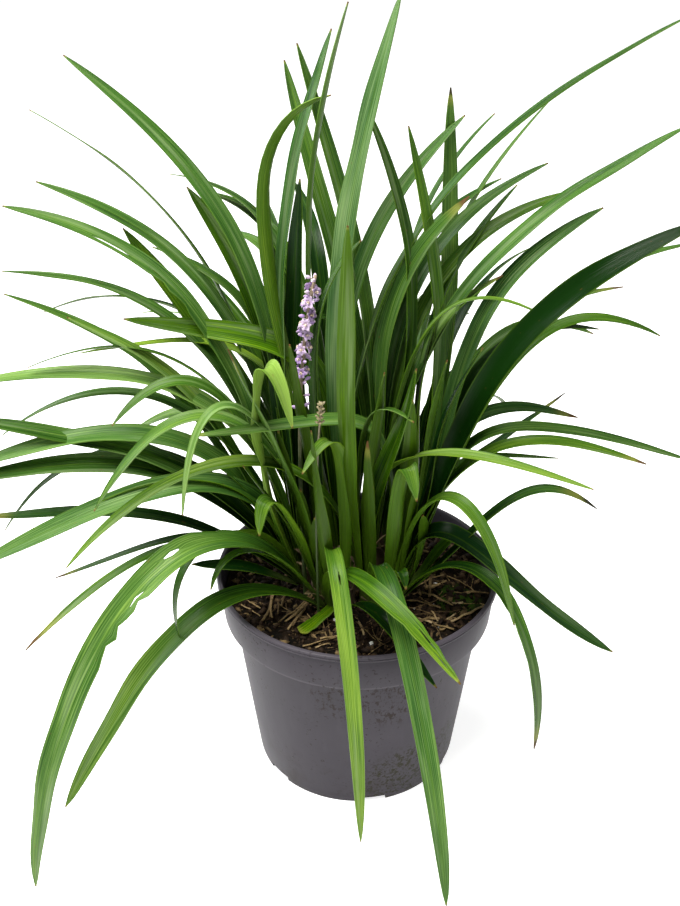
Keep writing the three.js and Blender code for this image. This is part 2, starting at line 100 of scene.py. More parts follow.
class Finish:
    # a material and the one method that adds its nodes
    def __init__(self, name):
        self.material = bpy.data.materials.new(name)
        self.material.use_nodes = True
        self.tree = self.material.node_tree
        self.shader = self.tree.nodes["Principled BSDF"]

    def node(self, kind, settings=None, inputs=None, output=0):
        node = self.tree.nodes.new("ShaderNode" + kind)
        for key, value in (settings or {}).items():
            if key == "stops":
                self.setStops(node.color_ramp, value)
            else:
                setattr(node, key, value)
        for key, value in (inputs or {}).items():
            self.feed(self.pick(node.inputs, key), value)
        return Wire(self, self.pick(node.outputs, output))

    def pick(self, sockets, key):
        if isinstance(key, int):
            return sockets[key]
        return next(s for s in sockets if key in (s.identifier, s.name))

    def feed(self, socket, value):
        if isinstance(value, Wire):
            self.tree.links.new(value.socket, socket)
        elif isinstance(value, tuple) and len(value) == 3 and socket.type == "RGBA":
            socket.default_value = (*value, 1)
        else:
            socket.default_value = value

    def setStops(self, ramp, stops):
        while len(ramp.elements) < len(stops):
            ramp.elements.new(1)
        for element, (position, colour) in zip(ramp.elements, stops):
            element.position = position
            element.color = (*colour, 1)

    def shade(self, **values):
        for key, value in values.items():
            self.feed(self.shader.inputs[key.replace("_", " ")], value)

    def coordinates(self, source="Object"):
        return self.node("TexCoord", output=source)

    def attribute(self, name):
        return self.node("Attribute", {"attribute_name": name}, output="Fac")

    def axis(self, vector, name):
        return self.node("SeparateXYZ", inputs={0: vector}, output=name)

    def noise(self, vector, scale, detail, roughness):
        # three scales in place of one stretch the pattern
        if isinstance(scale, tuple):
            vector = self.node("Mapping", inputs={"Vector": vector, "Scale": scale})
            scale = 1.0
        values = {"Vector": vector, "Scale": scale, "Detail": detail, "Roughness": roughness}
        return self.node("TexNoise", inputs=values, output="Fac")

    def span(self, value, low, high, smooth=True):
        # 0 below low, 1 above high
        kind = "SMOOTHSTEP" if smooth else "LINEAR"
        values = {"Value": value, "From Min": low, "From Max": high}
        return self.node("MapRange", {"interpolation_type": kind}, values)

    def patches(self, vector, scale, detail, roughness, low, high):
        return self.span(self.noise(vector, scale, detail, roughness), low, high)

    def near(self, vector, centre, reach):
        # 1 at a point, 0 from reach on
        away = self.node("VectorMath", {"operation": "DISTANCE"}, {0: vector, 1: centre}, "Value")
        return 1 - self.span(away, 0.0, reach)

    def mix(self, share, first, second):
        values = {"Factor_Float": share, "A_Color": first, "B_Color": second}
        return self.node("Mix", {"data_type": "RGBA"}, values, "Result_Color")

    def lay(self, colour, *layers):
        # lays tints over a colour, each where its mask is
        for mask, tint in layers:
            colour = self.mix(mask, colour, tint)
        return colour

    def ramp(self, share, places, colours):
        return self.node("ValToRGB", {"stops": list(zip(places, colours))}, {0: share}, "Color")

    def cover(self, colour, roughness, relief, strength, distance, **values):
        # colour, gloss and fine relief; other values are the same all over
        height = {"Height": relief, "Strength": strength, "Distance": distance}
        bump = self.node("Bump", inputs=height)
        self.shade(Base_Color=colour, Roughness=roughness, Normal=bump, **values)
        return self

    def letThrough(self, share, colour):
        # light that shines through a thin leaf or petal
        through = self.node("BsdfTranslucent", inputs={"Color": colour})
        shaders = {0: share, 1: Wire(self, self.shader.outputs[0]), 2: through}
        output = self.tree.nodes["Material Output"]
        self.feed(output.inputs["Surface"], self.node("MixShader", inputs=shaders))


# ---- mesh tools ----


def meshFrom(shape, name):
    mesh = bpy.data.meshes.new(name)
    shape.to_mesh(mesh)
    shape.free()
    return mesh


def stamp(shape, master, place):
    # adds a copy of a small mesh and returns its vertices
    count = len(shape.verts)
    shape.from_mesh(master)
    shape.verts.ensure_lookup_table()
    fresh = shape.verts[count:]
    bmesh.ops.transform(shape, matrix=place, verts=fresh)
    return fresh


def placed(place, size, turn=Matrix()):
    return Matrix.Translation(place) @ turn @ Matrix.Diagonal((*size, 1))


def addRings(shape, direction, places):
    # rings of edges across a shape, to bend it at
    for place in places:
        geom = shape.verts[:] + shape.edges[:] + shape.faces[:]
        centre = Vector(direction) * place
        bmesh.ops.bisect_plane(shape, geom=geom, plane_co=centre, plane_no=direction)


def discard(*meshes):
    for mesh in meshes:
        bpy.data.meshes.remove(mesh)


def finishPiece(name, shape, finishes, replaced=None):
    bmesh.ops.scale(shape, vec=(mm, mm, mm), verts=shape.verts)
    for face in shape.faces:
        face.smooth = True
    piece = bpy.data.objects.new(name, meshFrom(shape, name))
    bpy.context.scene.collection.objects.link(piece)
    for finish in finishes:
        piece.data.materials.append(finish.material)
    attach(piece, "root")
    if replaced:
        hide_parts(replaced)
    print(f"{name}: {len(piece.data.polygons)} faces")
    return piece


def spunShape(outline, steps):
    # turns an outline of [radius, height] round the pot's axis
    shape = bmesh.new()
    verts = [shape.verts.new((radius, 0, height)) for radius, height in outline]
    edges = [shape.edges.new(pair) for pair in zip(verts, verts[1:])]
    turn = {"cent": (0, 0, 0), "axis": (0, 0, 1), "angle": 2 * math.pi, "steps": steps}
    bmesh.ops.spin(shape, geom=verts + edges, use_merge=True, **turn)
    bmesh.ops.remove_doubles(shape, verts=shape.verts, dist=0.01)
    bmesh.ops.recalc_face_normals(shape, faces=shape.faces)
    return shape


def bezier(points, share):
    # point and unit tangent of a cubic curve
    a, b, c, d = points
    rest = 1 - share
    place = rest**3 * a + 3 * rest**2 * share * b + 3 * rest * share**2 * c + share**3 * d
    tangent = rest**2 * (b - a) + 2 * rest * share * (c - b) + share**2 * (d - c)
    return place, tangent.normalized()


# ---- camera, light and floor ----

studio = {
    "cameraPlace": (-0.01054, -0.59625, 0.56647),
    "cameraTilt": 59.35,
    "lens": 48.12,
    "floorRadius": 9.0,
    "floorColour": (0.80, 0.80, 0.80),
    "floorGlow": 0.76,
    "skyColour": (1.0, 1.0, 1.0),
    "skyStrength": 0.22,
    # name, place, aimed at, size, power, colour
    "lamps": [
        ("overheadSoftbox", (-0.35, -0.25, 1.6), (0, 0, 0.2), 1.0, 54, (1.0, 0.98, 0.94)),
        ("rimLight", (-1.4, 0.8, 0.9), (0, 0, 0.25), 1.2, 26, (0.96, 0.98, 1.0)),
        ("frontFill", (0.9, -1.6, 0.9), (0, 0, 0.15), 1.2, 8, (1.0, 0.99, 0.98)),
    ],
}


def buildStudio():
    camera = bpy.data.cameras.new("camera")
    camera.lens = studio["lens"]
    camera.clip_start = 0.01
    eye = bpy.data.objects.new("camera", camera)
    eye.location = studio["cameraPlace"]
    eye.rotation_euler = (math.radians(studio["cameraTilt"]), 0, 0)
    bpy.context.scene.collection.objects.link(eye)
    bpy.context.scene.camera = eye

    for name, place, target, size, power, colour in studio["lamps"]:
        lamp = bpy.data.lights.new(name, "AREA")
        lamp.shape = "DISK"
        lamp.size = size
        lamp.energy = power
        lamp.color = colour
        holder = bpy.data.objects.new(name, lamp)
        holder.location = place
        aim = Vector(target) - Vector(place)
        holder.rotation_euler = aim.to_track_quat("-Z", "Y").to_euler()
        bpy.context.scene.collection.objects.link(holder)

    world = bpy.data.worlds.new("studioSky")
    world.use_nodes = True
    sky = world.node_tree.nodes["Background"]
    sky.inputs["Color"].default_value = (*studio["skyColour"], 1)
    sky.inputs["Strength"].default_value = studio["skyStrength"]
    bpy.context.scene.world = world
    bpy.context.scene.view_settings.view_transform = "Standard"

    shape = bmesh.new()
    bmesh.ops.create_circle(shape, cap_ends=True, segments=64, radius=studio["floorRadius"])
    floor = bpy.data.objects.new("floor", meshFrom(shape, "floor"))
    bpy.context.scene.collection.objects.link(floor)
    paper = Finish("palePaper")
    paper.shade(Base_Color=studio["floorColour"], Roughness=0.7)
    paper.shade(Emission_Color=(1.0, 1.0, 1.0), Emission_Strength=studio["floorGlow"])
    floor.data.materials.append(paper.material)
    print("studio ready")


buildStudio()

# ---- pot ----

potSizes = {
    "rimRadius": 85,
    "height": 133,
    "collarHeight": 26,
    "collarFootRadius": 81.5,
    "shoulderRadius": 75.5,
    "footRadius": 62.5,
    "wall": 1.8,
    "lipHeight": 3.6,
    "lipOverhang": 1.2,
    "gutterInner": 41,
    "gutterOuter": 59,
    "gutterRise": 4,
    "drainHoles": 6,
    "drainHoleRadius": 4.5,
    "notches": 6,
    "notchWidth": 16,
    "notchRise": 3.5,
    "firstNotch": 39,
    "sides": 144,
    "sharpFrom": 28,
    "colour": (0.035, 0.031, 0.039),
    # the pale dust colour also paints the highlight on the edge above the collar
    "dustAndHighlight": (0.072, 0.064, 0.077),
    # the dark speck colour also paints the shade under the collar
    "speckAndShade": (0.012, 0.009, 0.008),
    "mud": (0.014, 0.008, 0.005),
    "algae": (0.013, 0.013, 0.001),
    "shine": 0.12,
    # mud washed down from the collar, algae low on the front: tint, centre, reach, then
    # where the pattern starts and is full, and strength
    "stains": [
        ("mud", (-0.009, -0.073, 0.094), 0.026, 0.50, 0.61, 0.9),
        ("mud", (0.021, -0.070, 0.088), 0.026, 0.50, 0.61, 0.9),
        ("algae", (0.029, -0.0575, 0.0175), 0.036, 0.49, 0.58, 0.95),
        ("algae", (0.056, -0.038, 0.022), 0.030, 0.49, 0.58, 0.95),
    ],
}


def potFinish():
    pot = potSizes
    dustAndHighlight, speckAndShade = pot["dustAndHighlight"], pot["speckAndShade"]
    finish = Finish("taupePlastic")
    place = finish.coordinates()
    height = finish.axis(place, "Z")
    cloud = finish.noise(place, 14, 4, 0.6)
    scuff = finish.noise(place, (220, 220, 30), 3, 0.6)
    specks = finish.patches(place, 480, 2, 0.5, 0.61, 0.68) * finish.patches(place, 45, 2, 0.5, 0.4, 0.65)
    foot = 1 - finish.span(height, 0.0, 0.05)
    # painted shade in a dark line under the collar and a painted highlight on the pale edge above it,
    # heights in metres
    shadowLine = finish.span(height, 0.1025, 0.1068) * (1 - finish.span(height, 0.1069, 0.1074))
    highlightLine = finish.span(height, 0.1071, 0.1076) * (1 - finish.span(height, 0.1080, 0.1090))
    # dust in clouds and streaks, a rim rubbed paler, a foot dark with dirt, and specks
    colour = finish.lay(
        pot["colour"],
        (finish.span(cloud, 0.35, 0.75) * 0.35, dustAndHighlight),
        (finish.patches(place, (90, 90, 9), 4, 0.6, 0.52, 0.8) * 0.22, dustAndHighlight),
        (finish.span(height, 0.1290, 0.1325) * 0.35, dustAndHighlight),
        # painted shade under the collar, then a painted highlight on the edge above it
        (shadowLine * 0.85, speckAndShade),
        (highlightLine * 0.6, dustAndHighlight),
        (foot * finish.patches(place, 60, 5, 0.65, 0.45, 0.7) * 0.5, pot["mud"]),
        (specks * 0.75, speckAndShade),
    )
    patterns = {
        "mud": finish.noise(place, (380, 380, 228), 5, 0.72),
        "algae": finish.noise(place, 400, 5, 0.75),
    }
    for tint, centre, reach, low, full, strength in pot["stains"]:
        stain = finish.span(finish.near(place, centre, reach), 0.0, 0.4)
        stain = stain * finish.span(patterns[tint], low, full)
        colour = finish.mix(stain * strength, colour, pot[tint])
    gloss = 0.40 + cloud * 0.2 - scuff * 0.08
    relief = cloud * 0.4 + scuff * 0.3 + specks * 0.4
    return finish.cover(colour, gloss, relief, 0.35, 0.0004, Specular_IOR_Level=pot["shine"])


def potOutline():
    pot = potSizes
    rim, height, wall = pot["rimRadius"], pot["height"], pot["wall"]
    step = height - pot["collarHeight"]
    collarTop = rim - pot["lipOverhang"]
    lipFoot = height - pot["lipHeight"]
    shoulder, foot = pot["shoulderRadius"], pot["footRadius"]
    collarFoot = pot["collarFootRadius"]
    inner, outer, rise = pot["gutterInner"], pot["gutterOuter"], pot["gutterRise"]
    floorHeight = rise + wall
    slope = (shoulder - foot) / step
    outside = [[0, 0.4], [inner - 0.4, 0.4], [inner, 0.7]]
    outside += [[inner + 1, rise - 0.3], [inner + 1.4, rise], [outer - 1.4, rise], [outer - 1, rise - 0.3]]
    outside += [[outer - 0.2, 0.3], [outer + 0.2, 0], [foot - 0.8, 0], [foot - 0.2, 0.3], [foot, 1]]
    outside += [[foot + slope * up, up] for up in (4.5, 30, 60)]
    outside += [[shoulder - slope * 4, step - 4], [shoulder, step - 0.5], [shoulder + 0.5, step]]
    outside += [[collarFoot - 0.8, step], [collarFoot - 0.2, step + 0.3], [collarFoot, step + 1]]
    outside += [[collarTop - 0.3, lipFoot - 1.2], [collarTop - 0.5, lipFoot - 0.6], [collarTop, lipFoot]]
    outside += [[rim - 0.4, lipFoot + 0.2], [rim, lipFoot + 0.8]]
    # a fine groove runs round the lip
    groove = [(0, 2.1), (0.35, 1.95), (0.35, 1.65), (0, 1.5)]
    edge = [(0, 1.1), (0.3, 0.4), (0.9, 0)]
    outside += [[rim - inward, height - down] for inward, down in groove + edge]
    top = collarTop - wall
    inside = [[top + 0.6, height], [top + 0.1, height - 0.4], [top, height - 1.2]]
    inside += [[collarFoot - wall, step + wall], [shoulder - wall, step + wall - 0.2]]
    inside += [[foot + slope * floorHeight - wall, floorHeight], [inner - 1, floorHeight]]
    inside += [[inner - 2, wall], [0, wall]]
    return outside + inside


def buildPot():
    pot = potSizes
    shape = spunShape(potOutline(), pot["sides"])
    cutter = bmesh.new()
    middle = (pot["gutterInner"] + pot["gutterOuter"]) / 2
    for i in range(pot["drainHoles"]):
        turn = Matrix.Rotation(2 * math.pi * i / pot["drainHoles"], 4, "Z")
        hole = {"radius1": pot["drainHoleRadius"], "radius2": pot["drainHoleRadius"]}
        place = turn @ Matrix.Translation((middle, 0, pot["gutterRise"]))
        bmesh.ops.create_cone(cutter, cap_ends=True, segments=28, depth=14, matrix=place, **hole)
    reach = pot["footRadius"] / 2
    for i in range(pot["notches"]):
        turn = Matrix.Rotation(math.radians(pot["firstNotch"] + i * 360 / pot["notches"]), 4, "Z")
        size = Matrix.Diagonal((reach, pot["notchWidth"], 2 * pot["notchRise"], 1))
        place = turn @ Matrix.Translation((pot["gutterOuter"] - 3 + reach / 2, 0, 0)) @ size
        bmesh.ops.create_cube(cutter, size=1, matrix=place)
    bmesh.ops.scale(cutter, vec=(mm, mm, mm), verts=cutter.verts)
    tool = bpy.data.objects.new("potCutter", meshFrom(cutter, "potCutter"))
    bpy.context.scene.collection.objects.link(tool)
    piece = finishPiece("nurseryPot", shape, [potFinish()], "pot")
    cut = piece.modifiers.new("drainage", "BOOLEAN")
    cut.operation = "DIFFERENCE"
    cut.solver = "EXACT"
    cut.object = tool
    bpy.context.view_layer.update()
    cutPot = bpy.data.meshes.new_from_object(piece.evaluated_get(bpy.context.evaluated_depsgraph_get()))
    piece.modifiers.clear()
    piece.data = cutPot
    bpy.data.objects.remove(tool)
    shape = bmesh.new()
    shape.from_mesh(cutPot)
    bmesh.ops.remove_doubles(shape, verts=shape.verts, dist=0.01 * mm)
    for face in shape.faces:
        face.smooth = True
    for edge in shape.edges:
        if len(edge.link_faces) == 2:
            edge.smooth = edge.calc_face_angle(0) <= math.radians(pot["sharpFrom"])
    shape.to_mesh(cutPot)
    shape.free()
    return piece


buildPot()

# ---- soil ----

soilSizes = {
    "level": 121,
    "bump": 1.6,
    "ringStep": 1.6,
    "sides": 250,
    "crumbHeight": 3.0,
    "dark": (0.003, 0.002, 0.001),
    "brown": (0.016, 0.009, 0.004),
    "crumbs": 2200,
    "straws": 310,
    "perlite": 9,
    "straw": (0.34, 0.235, 0.105),
    "bark": (0.036, 0.020, 0.009),
    "moss": (0.035, 0.075, 0.006),
    "mossPlace": (0.060, -0.017, 0.121),
    "mossReach": 0.018,
    "seed": 5,
    # how far from the middle each kind of litter starts, and how far from the wall it ends
    "crumbsFrom": 8,
    "strawsFrom": 26,
    "perliteFrom": 40,
    "wallMargin": 3,
    "strawBend": 0.5,
    "strawPitch": 0.28,
    # each of these: least, spread, and power that favours the low end
    "crumbSize": (1.1, 3.9, 2.4),
    "crumbShade": (0.03, 0.5, 1.6),
    "strawLength": (5, 26, 2),
    "strawWidth": (0.4, 2.0, 3),
    "strawFlatness": (0.35, 0.6),
    "strawShade": (0.18, 0.6, 1.2),
    "strawLift": (0.3, 2.2, 2),
    "perliteSize": (1.4, 2.2, 2),
}


def soilHeight(x, y):
    broad = math.sin(0.11 * x + 0.05 * y) * math.cos(0.09 * y - 0.04 * x)
    fine = math.sin(0.43 * x + 0.5) * math.sin(0.37 * y + 1.1)
    return soilSizes["level"] + soilSizes["bump"] * (broad + 0.5 * fine)


def crumbled(x, y):
    # the crumbly top of the peat
    spot = Vector((x, y, 0))
    lumps = noise.noise(spot * 0.16) + 0.6 * noise.noise(spot * 0.37) + 0.35 * noise.noise(spot * 0.8)
    return soilHeight(x, y) - 0.4 + soilSizes["crumbHeight"] * lumps * 0.8


# Straws and old stalks laid one by one: from x, y to x, y, then width, shade and lift
laidStraws = [
    [-22.9, -11.5, -40.4, -42.4, 1.8, 0.62, 3.0],
    [-25.3, -17.2, -42.7, -45.5, 1.5, 0.70, 2.2],
    [-23.5, -14.0, -39.0, -44.0, 1.2, 0.50, 3.6],
    [-27.0, -16.0, -44.0, -40.0, 1.3, 0.66, 1.6],
    [-49.6, -9.0, -53.6, -38.6, 2.2, 0.50, 2.5],
    [-51.0, -10.0, -52.0, -37.0, 1.4, 0.60, 3.2],
    [-69.0, -20.4, -56.9, -31.6, 0.8, 0.75, 1.5],
    [-28.6, -47.0, -22.8, -54.5, 1.0, 0.60, 1.2],
    [-32.1, -60.4, -11.3, -51.5, 0.9, 0.65, 1.4],
    [-24.5, -61.8, -16.1, -57.4, 1.2, 0.70, 1.0],
    [33.4, -7.3, 52.0, 6.2, 1.2, 0.70, 2.5],
    [41.4, -8.2, 54.6, -0.6, 2.6, 0.68, 2.0],
    [29.4, -17.2, 44.9, -23.6, 1.3, 0.60, 1.5],
    [55.8, -23.6, 62.9, -22.0, 1.6, 0.85, 1.8],
    [43.5, -30.0, 46.8, -39.3, 1.2, 0.75, 1.8],
    [44.9, -39.3, 60.4, -28.4, 1.4, 0.80, 1.8],
    [56.1, 6.2, 72.0, -10.6, 1.0, 0.70, 2.5],
    [35.3, -36.3, 42.8, -41.6, 1.7, 0.78, 1.5],
]

# Grains of perlite laid one by one: x, y and size
laidPerlite = [
    (34.2, 8.8, 2.6),
    (39.3, 16.1, 1.8),
    (44.9, -21.6, 2.2),
    (46.4, -41.6, 1.8),
    (33.6, -23.3, 1.5),
    (-13.3, -36.3, 3.0),
    (7.7, -56.9, 4.2),
    (-3.6, -49.7, 2.4),
]


def soilFinish():
    soil = soilSizes
    finish = Finish("dampPeat")
    place = finish.coordinates()
    coarse = finish.noise(place, 160, 5, 0.65)
    fine = finish.noise(place, 700, 4, 0.7)
    mossy = finish.span(finish.near(place, soil["mossPlace"], soil["mossReach"]), 0.0, 0.5)
    colour = finish.lay(
        soil["dark"],
        (finish.span(coarse, 0.42, 0.68), soil["brown"]),
        (finish.patches(place, (900, 120, 300), 3, 0.6, 0.62, 0.75) * 0.35, soil["straw"]),
        (mossy * finish.patches(place, 330, 3, 0.6, 0.40, 0.52), soil["moss"]),
    )
    return finish.cover(colour, 0.75 + fine * 0.2, fine + coarse, 0.9, 0.0012, Specular_IOR_Level=0.1)


def litterFinish():
    # attribute shade: 0 dark bark, 1 pale straw
    soil = soilSizes
    finish = Finish("barkAndStraw")
    place = finish.coordinates()
    grain = finish.noise(place, 900, 4, 0.6)
    patch = finish.noise(place, 220, 3, 0.6)
    tint = finish.span(finish.attribute("shade") + (patch - 0.5) * 0.35, 0.0, 1.0, False)
    colours = [(0.004, 0.002, 0.001), soil["bark"], soil["straw"], (0.60, 0.47, 0.30)]
    colour = finish.ramp(tint, (0.0, 0.35, 0.7, 1.0), colours)
    colour = finish.mix(finish.span(grain, 0.35, 0.6) * 0.45, colour, (0.022, 0.012, 0.007))
    return finish.cover(colour, 0.6 + grain * 0.3, grain, 0.6, 0.0004, Specular_IOR_Level=0.15)


def perliteFinish():
    finish = Finish("perlite")
    place = finish.coordinates()
    pits = finish.noise(place, 1500, 3, 0.6)
    stain = finish.patches(place, 400, 2, 0.5, 0.5, 0.75)
    colour = finish.mix(stain * 0.5, (0.60, 0.60, 0.57), (0.34, 0.30, 0.24))
    return finish.cover(colour, 0.7 + pits * 0.2, pits, 0.7, 0.0003)


def buildSoil():
    pot, soil = potSizes, soilSizes
    gap = 0.3
    wallGap = gap + pot["wall"]
    step = pot["height"] - pot["collarHeight"]
    floorHeight = pot["gutterRise"] + pot["wall"]
    slope = (pot["shoulderRadius"] - pot["footRadius"]) / step
    top = pot["collarFootRadius"] - wallGap + 0.8
    outline = [
        [0, pot["wall"] + gap],
        [pot["gutterInner"] - 2 - gap, pot["wall"] + gap],
        [pot["gutterInner"] - 1 - gap, floorHeight + gap],
        [pot["footRadius"] + slope * floorHeight - wallGap, floorHeight + gap],
        [pot["shoulderRadius"] - wallGap, step + pot["wall"] + gap],
        [pot["collarFootRadius"] - wallGap, step + pot["wall"] + gap],
        [top, soil["level"] - 1.5],
    ]
    rings = int(top / soil["ringStep"])
    outline += [[top * ring / rings, soil["level"]] for ring in range(rings - 1, -1, -1)]
    shape = spunShape(outline, soil["sides"])
    for vert in shape.verts:
        if vert.co.z > soil["level"] - 0.1:
            vert.co.z = crumbled(vert.co.x, vert.co.y)
    return finishPiece("peatSoil", shape, [soilFinish()], "soil")


def masterStraw():
    # a straw along X from -0.5 to 0.5
    shape = bmesh.new()
    turn = Matrix.Rotation(math.pi / 2, 4, "Y")
    ends = {"radius1": 0.5, "radius2": 0.42, "depth": 1}
    bmesh.ops.create_cone(shape, cap_ends=True, segments=6, matrix=turn, **ends)
    addRings(shape, (1, 0, 0), (-0.3, -0.1, 0.1, 0.3))
    return meshFrom(shape, "masterStraw")


def masterCrumb(name, levels, roughness, seed):
    shape = bmesh.new()
    bmesh.ops.create_icosphere(shape, subdivisions=levels, radius=0.5)
    for vert in shape.verts:
        vert.co *= 1 + roughness * noise.noise(vert.co * 3 + Vector((seed, 0, 0)))
    return meshFrom(shape, name)


def buildLitter():
    soil = soilSizes
    draw = seededRandom(soil["seed"])
    straw = masterStraw()
    crumbs = [masterCrumb(f"masterCrumb{i}", 1, 0.9, 7 * i) for i in range(3)]
    grains = [masterCrumb(f"masterGrain{i}", 2, 0.6, 5 * i) for i in range(3)]
    shape = bmesh.new()
    shade = shape.verts.layers.float.new("shade")
    limit = potSizes["collarFootRadius"] - potSizes["wall"] - soil["wallMargin"]

    def spot(inner, outer):
        radius = math.sqrt(inner**2 + (outer**2 - inner**2) * draw())
        angle = 2 * math.pi * draw()
        return radius * math.cos(angle), radius * math.sin(angle)

    def layStraw(x, y, length, width, flatness, heading, bend, pitch, value, lift):
        # bends a straw, turns it and rests it on the crumbs, inside the pot
        fresh = stamp(shape, straw, Matrix.Diagonal((length, width, width * flatness, 1)))
        for vert in fresh:
            share = vert.co.x / length
            vert.co.y += bend * length * share * share
            vert.co.z += pitch * vert.co.x
            vert[shade] = value
        turn = Matrix.Rotation(heading, 4, "Z")
        for vert in fresh:
            vert.co = turn @ vert.co
            far = math.hypot(vert.co.x + x, vert.co.y + y)
            if far > limit:
                vert.co *= 1 - (far - limit) / far
            ground = crumbled(vert.co.x + x, vert.co.y + y) * 0.5 + crumbled(x, y) * 0.5
            vert.co += Vector((x, y, ground + lift))

    for i in range(soil["crumbs"]):
        x, y = spot(soil["crumbsFrom"], limit)
        size = drawn(draw, *soil["crumbSize"])
        turn = Matrix.Rotation(2 * math.pi * draw(), 4, "Z") @ Matrix.Rotation(draw(), 4, "X")
        form = (size * 1.5, size, size * 0.55)
        place = placed((x, y, crumbled(x, y) + 0.1 * size), form, turn)
        value = drawn(draw, *soil["crumbShade"])
        for vert in stamp(shape, crumbs[i % 3], place):
            vert[shade] = value
    for i in range(soil["straws"]):
        x, y = spot(soil["strawsFrom"], limit - 4)
        length, width, flatness = (
            drawn(draw, *soil[name]) for name in ("strawLength", "strawWidth", "strawFlatness")
        )
        heading = 2 * math.pi * draw()
        bend = (draw() - 0.5) * soil["strawBend"]
        pitch = (draw() - 0.5) * soil["strawPitch"]
        value, lift = (drawn(draw, *soil[name]) for name in ("strawShade", "strawLift"))
        layStraw(x, y, length, width, flatness, heading, bend, pitch, value, lift)
    for x0, y0, x1, y1, width, value, lift in laidStraws:
        length = math.hypot(x1 - x0, y1 - y0)
        heading = math.atan2(y1 - y0, x1 - x0)
        bend = 0.3 * math.sin(length)
        layStraw((x0 + x1) / 2, (y0 + y1) / 2, length, width, 0.6, heading, bend, 0, value, lift)
    count = len(shape.faces)
    start, size = soil["perliteFrom"], soil["perliteSize"]
    scattered = [(*spot(start, limit), drawn(draw, *size)) for i in range(soil["perlite"])]
    for i, (x, y, size) in enumerate(scattered + laidPerlite):
        turn = Matrix.Rotation(2 * math.pi * draw(), 4, "Z")
        form = (size, size * 0.85, size * 0.7)
        stamp(shape, grains[i % 3], placed((x, y, crumbled(x, y) + 0.3 * size), form, turn))
    shape.faces.ensure_lookup_table()
    for face in shape.faces[count:]:
        face.material_index = 1
    discard(straw, *crumbs, *grains)
    return finishPiece("soilLitter", shape, [litterFinish(), perliteFinish()])


buildSoil()
buildLitter()

# ---- leaves ----

leafSizes = {
    "rootDepth": 1,
    "rootSpread": 9,
    "riseShare": 0.5,
    "fallShare": 0.36,
    "channelShare": 0.17,
    "rootWidthShare": 0.5,
    "fullWidthFrom": 0.42,
    "taperPower": 6.5,
    "tipRounding": 0.65,
    "thickness": 0.5,
    "tipWidth": 0.5,
    "rowLength": 7,
    "columns": 8,
    "twistRange": 14,
    "turnedBy": 0.2,
    "waveHeight": 0.9,
    "waveLength": 11,
    "waveSwell": 29,
    "holePinch": 0.75,
    "biteReach": 7,
    "leafSeed": 7,
    "looksSeed": 3,
    "veins": 11,
    # from deep to bright
    "greens": [(0.003, 0.018, 0.001), (0.044, 0.118, 0.002), (0.225, 0.355, 0.004)],
    # bluish greens, painted where a blade reflects the sky
    "skyReflectionGreens": [(0.004, 0.024, 0.007), (0.045, 0.130, 0.034), (0.210, 0.350, 0.135)],
    "sheath": (0.150, 0.200, 0.050),
    # pale streaks and a pale band, both painted sheen of reflected light
    "sheenStreak": (0.230, 0.350, 0.100),
    "sheen": (0.330, 0.430, 0.220),
    "under": (0.085, 0.170, 0.004),
    "brown": (0.150, 0.070, 0.025),
    "black": (0.020, 0.014, 0.010),
    "halo": (0.340, 0.300, 0.060),
    "shine": 0.11,
    "lightThrough": 0.14,
}

crowns = [[0, 4], [20, 2], [12, -18], [-12, -18], [-24, 2], [-10, 22], [14, 22]]

